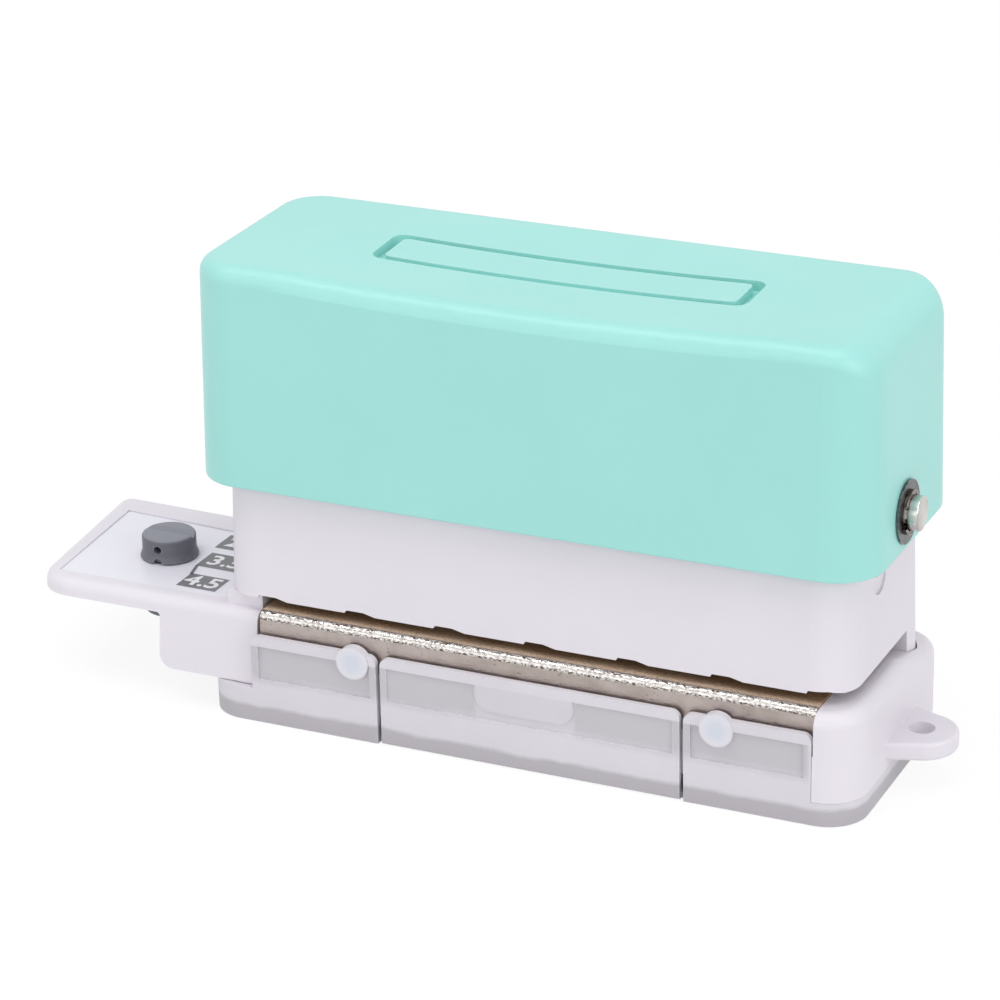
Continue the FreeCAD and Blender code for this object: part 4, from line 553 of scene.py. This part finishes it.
inkSkin = dict(grain=9000.0, wave=400.0, cloud=600.0, roughness=(0.34, 0.46), bump=0.000008)
scaleLook = dict(ink=0.00004, corner=0.00025, cornerSteps=3, level=0.02171, figureSize=0.0062,
                 figureBold=0.00012, figureWide=1.05, figureSteps=4,
                 blocks=(("low", "4.5", (-0.0742, -0.01335), (0.0044, 0.0031), -1.0),
                         ("middle", "3.5", (-0.0745, -0.00305), (0.0051, 0.00345), -1.0),
                         ("high", "2.5", (-0.0752, 0.00640), (0.0051, 0.0034), -1.0)),
                 linkHalf=(0.00035, 0.0022), linkAt=(-0.07885, -0.0084), linkTurn=12.0)
greyInk = makeInk(dict(name="greyInk", light=(0.178, 0.178, 0.192), deep=(0.152, 0.152, 0.166)))
whiteInk = makeInk(dict(name="whiteInk", light=(0.88, 0.88, 0.90), deep=(0.82, 0.82, 0.85)))
printLevel = scaleLook["level"]
figureLevel = printLevel + scaleLook["ink"]
for label, figure, (x, y), half, turn in scaleLook["blocks"]:
    printBlock("scale_block_" + label, half, scaleLook, greyInk, turn, (x, y, printLevel))
    printFigure("scale_figure_" + label, figure, scaleLook, whiteInk, turn, (x, y, figureLevel))
printBlock("scale_link", scaleLook["linkHalf"], scaleLook, greyInk, scaleLook["linkTurn"],
           (*scaleLook["linkAt"], printLevel))
print("printed scale ready")


def seenDirectly(tree, at):
    # one for rays from the camera, off a mirror or through clear plastic, so that the ground shows white
    column, level = at
    path = putNode(tree, "ShaderNodeLightPath", at)
    straight, mirrored, through = (
        path.outputs[name] for name in ("Is Camera Ray", "Is Glossy Ray", "Is Transmission Ray"))
    seen = mathNode(tree, "MAXIMUM", (column + 200, level), straight, mirrored)
    return mathNode(tree, "MAXIMUM", (column + 400, level), seen, through)


def makeFloor(look):
    bpy.ops.mesh.primitive_grid_add(x_subdivisions=4, y_subdivisions=4, size=look["size"],
                                    location=(0, 0, look["level"]))
    floor = bpy.context.object
    floor.name = "floor"
    material, tree, shader, place = startMaterial("floorPaper")
    wash = noiseNode(tree, (-600, 200), place, look["washScale"])
    sheet = blendNode(tree, (-400, 200), wash, look["paper"], look["paperDeep"])
    seen = seenDirectly(tree, (-600, -300))
    tree.links.new(blendNode(tree, (0, 200), seen, sheet, look["seen"]), shader.inputs["Base Color"])
    shader.inputs["Roughness"].default_value = look["roughness"]
    shader.inputs["Specular IOR Level"].default_value = look["shine"]
    shader.inputs["Emission Color"].default_value = (1.0, 1.0, 1.0, 1.0)
    glow = mathNode(tree, "MULTIPLY", (0, -300), seen, look["glow"])
    tree.links.new(glow, shader.inputs["Emission Strength"])
    floor.data.materials.append(material)


def makeWorld(look):
    world = bpy.data.worlds.new("studio")
    bpy.context.scene.world = world
    world.use_nodes = True
    tree = world.node_tree
    tree.nodes.clear()
    out = putNode(tree, "ShaderNodeOutputWorld", (600, 0))
    mix = putNode(tree, "ShaderNodeMixShader", (300, 0))
    tree.links.new(seenDirectly(tree, (-600, 300)), mix.inputs["Fac"])
    for index, strength in enumerate((look["fill"], look["white"])):
        sky = putNode(tree, "ShaderNodeBackground", (0, 100 - 200 * index))
        sky.inputs["Color"].default_value = (1.0, 1.0, 1.0, 1.0)
        sky.inputs["Strength"].default_value = strength
        tree.links.new(sky.outputs["Background"], mix.inputs[index + 1])
    tree.links.new(mix.outputs["Shader"], out.inputs["Surface"])


def addLamp(name, place, aim, size, power):
    lamp = bpy.data.lights.new(name, "AREA")
    lamp.shape = "RECTANGLE"
    lamp.size, lamp.size_y = size
    lamp.energy = power
    holder = bpy.data.objects.new(name, lamp)
    bpy.context.scene.collection.objects.link(holder)
    holder.location = place
    holder.rotation_euler = (Vector(aim) - Vector(place)).to_track_quat("-Z", "Y").to_euler()


def addCamera(look):
    azimuth, elevation, roll = (math.radians(look[name]) for name in ("azimuth", "elevation", "roll"))
    back = Vector((math.sin(azimuth) * math.cos(elevation), -math.cos(azimuth) * math.cos(elevation),
                   math.sin(elevation)))
    across = Vector((0, 0, 1)).cross(back).normalized()
    up = back.cross(across)
    turnedAcross = across * math.cos(roll) + up * math.sin(roll)
    turnedUp = up * math.cos(roll) - across * math.sin(roll)
    lens = bpy.data.cameras.new("camera")
    lens.lens = look["lens"]
    lens.sensor_width = look["sensor"]
    lens.clip_start, lens.clip_end = look["clip"]
    camera = bpy.data.objects.new("camera", lens)
    bpy.context.scene.collection.objects.link(camera)
    turn = Matrix((turnedAcross, turnedUp, back)).transposed().to_4x4()
    camera.matrix_world = Matrix.Translation(Vector(look["aim"]) + back * look["distance"]) @ turn
    bpy.context.scene.camera = camera


makeFloor(dict(size=8.0, level=-0.0001, washScale=3.0, paper=(0.86, 0.86, 0.86),
               paperDeep=(0.84, 0.84, 0.84), roughness=0.9, shine=0.1, seen=(0.14, 0.14, 0.14), glow=0.87))
makeWorld(dict(fill=0.58, white=1.0))
addLamp("topSoftbox", (0.0, -0.25, 1.3), (0, 0, 0.05), (1.4, 1.0), 6.7)
addLamp("frontSoftbox", (-0.35, -1.4, 0.55), (0, 0, 0.05), (1.2, 0.8), 2.9)
addLamp("sparkLamp", (-0.50, -0.30, 1.20), (0, 0, 0.09), (0.08, 0.08), 0.8)
addLamp("sideSoftbox", (1.4, -0.5, 0.6), (0, 0, 0.05), (0.9, 0.8), 5.6)
addCamera(dict(lens=138.222, sensor=36.0, clip=(0.01, 50.0), azimuth=24.782, elevation=22.866,
               roll=-1.126, distance=0.7465, aim=(-0.01466, 0.0, 0.04374)))
bpy.context.scene.view_settings.view_transform = "Standard"
print("floor, light and camera ready")
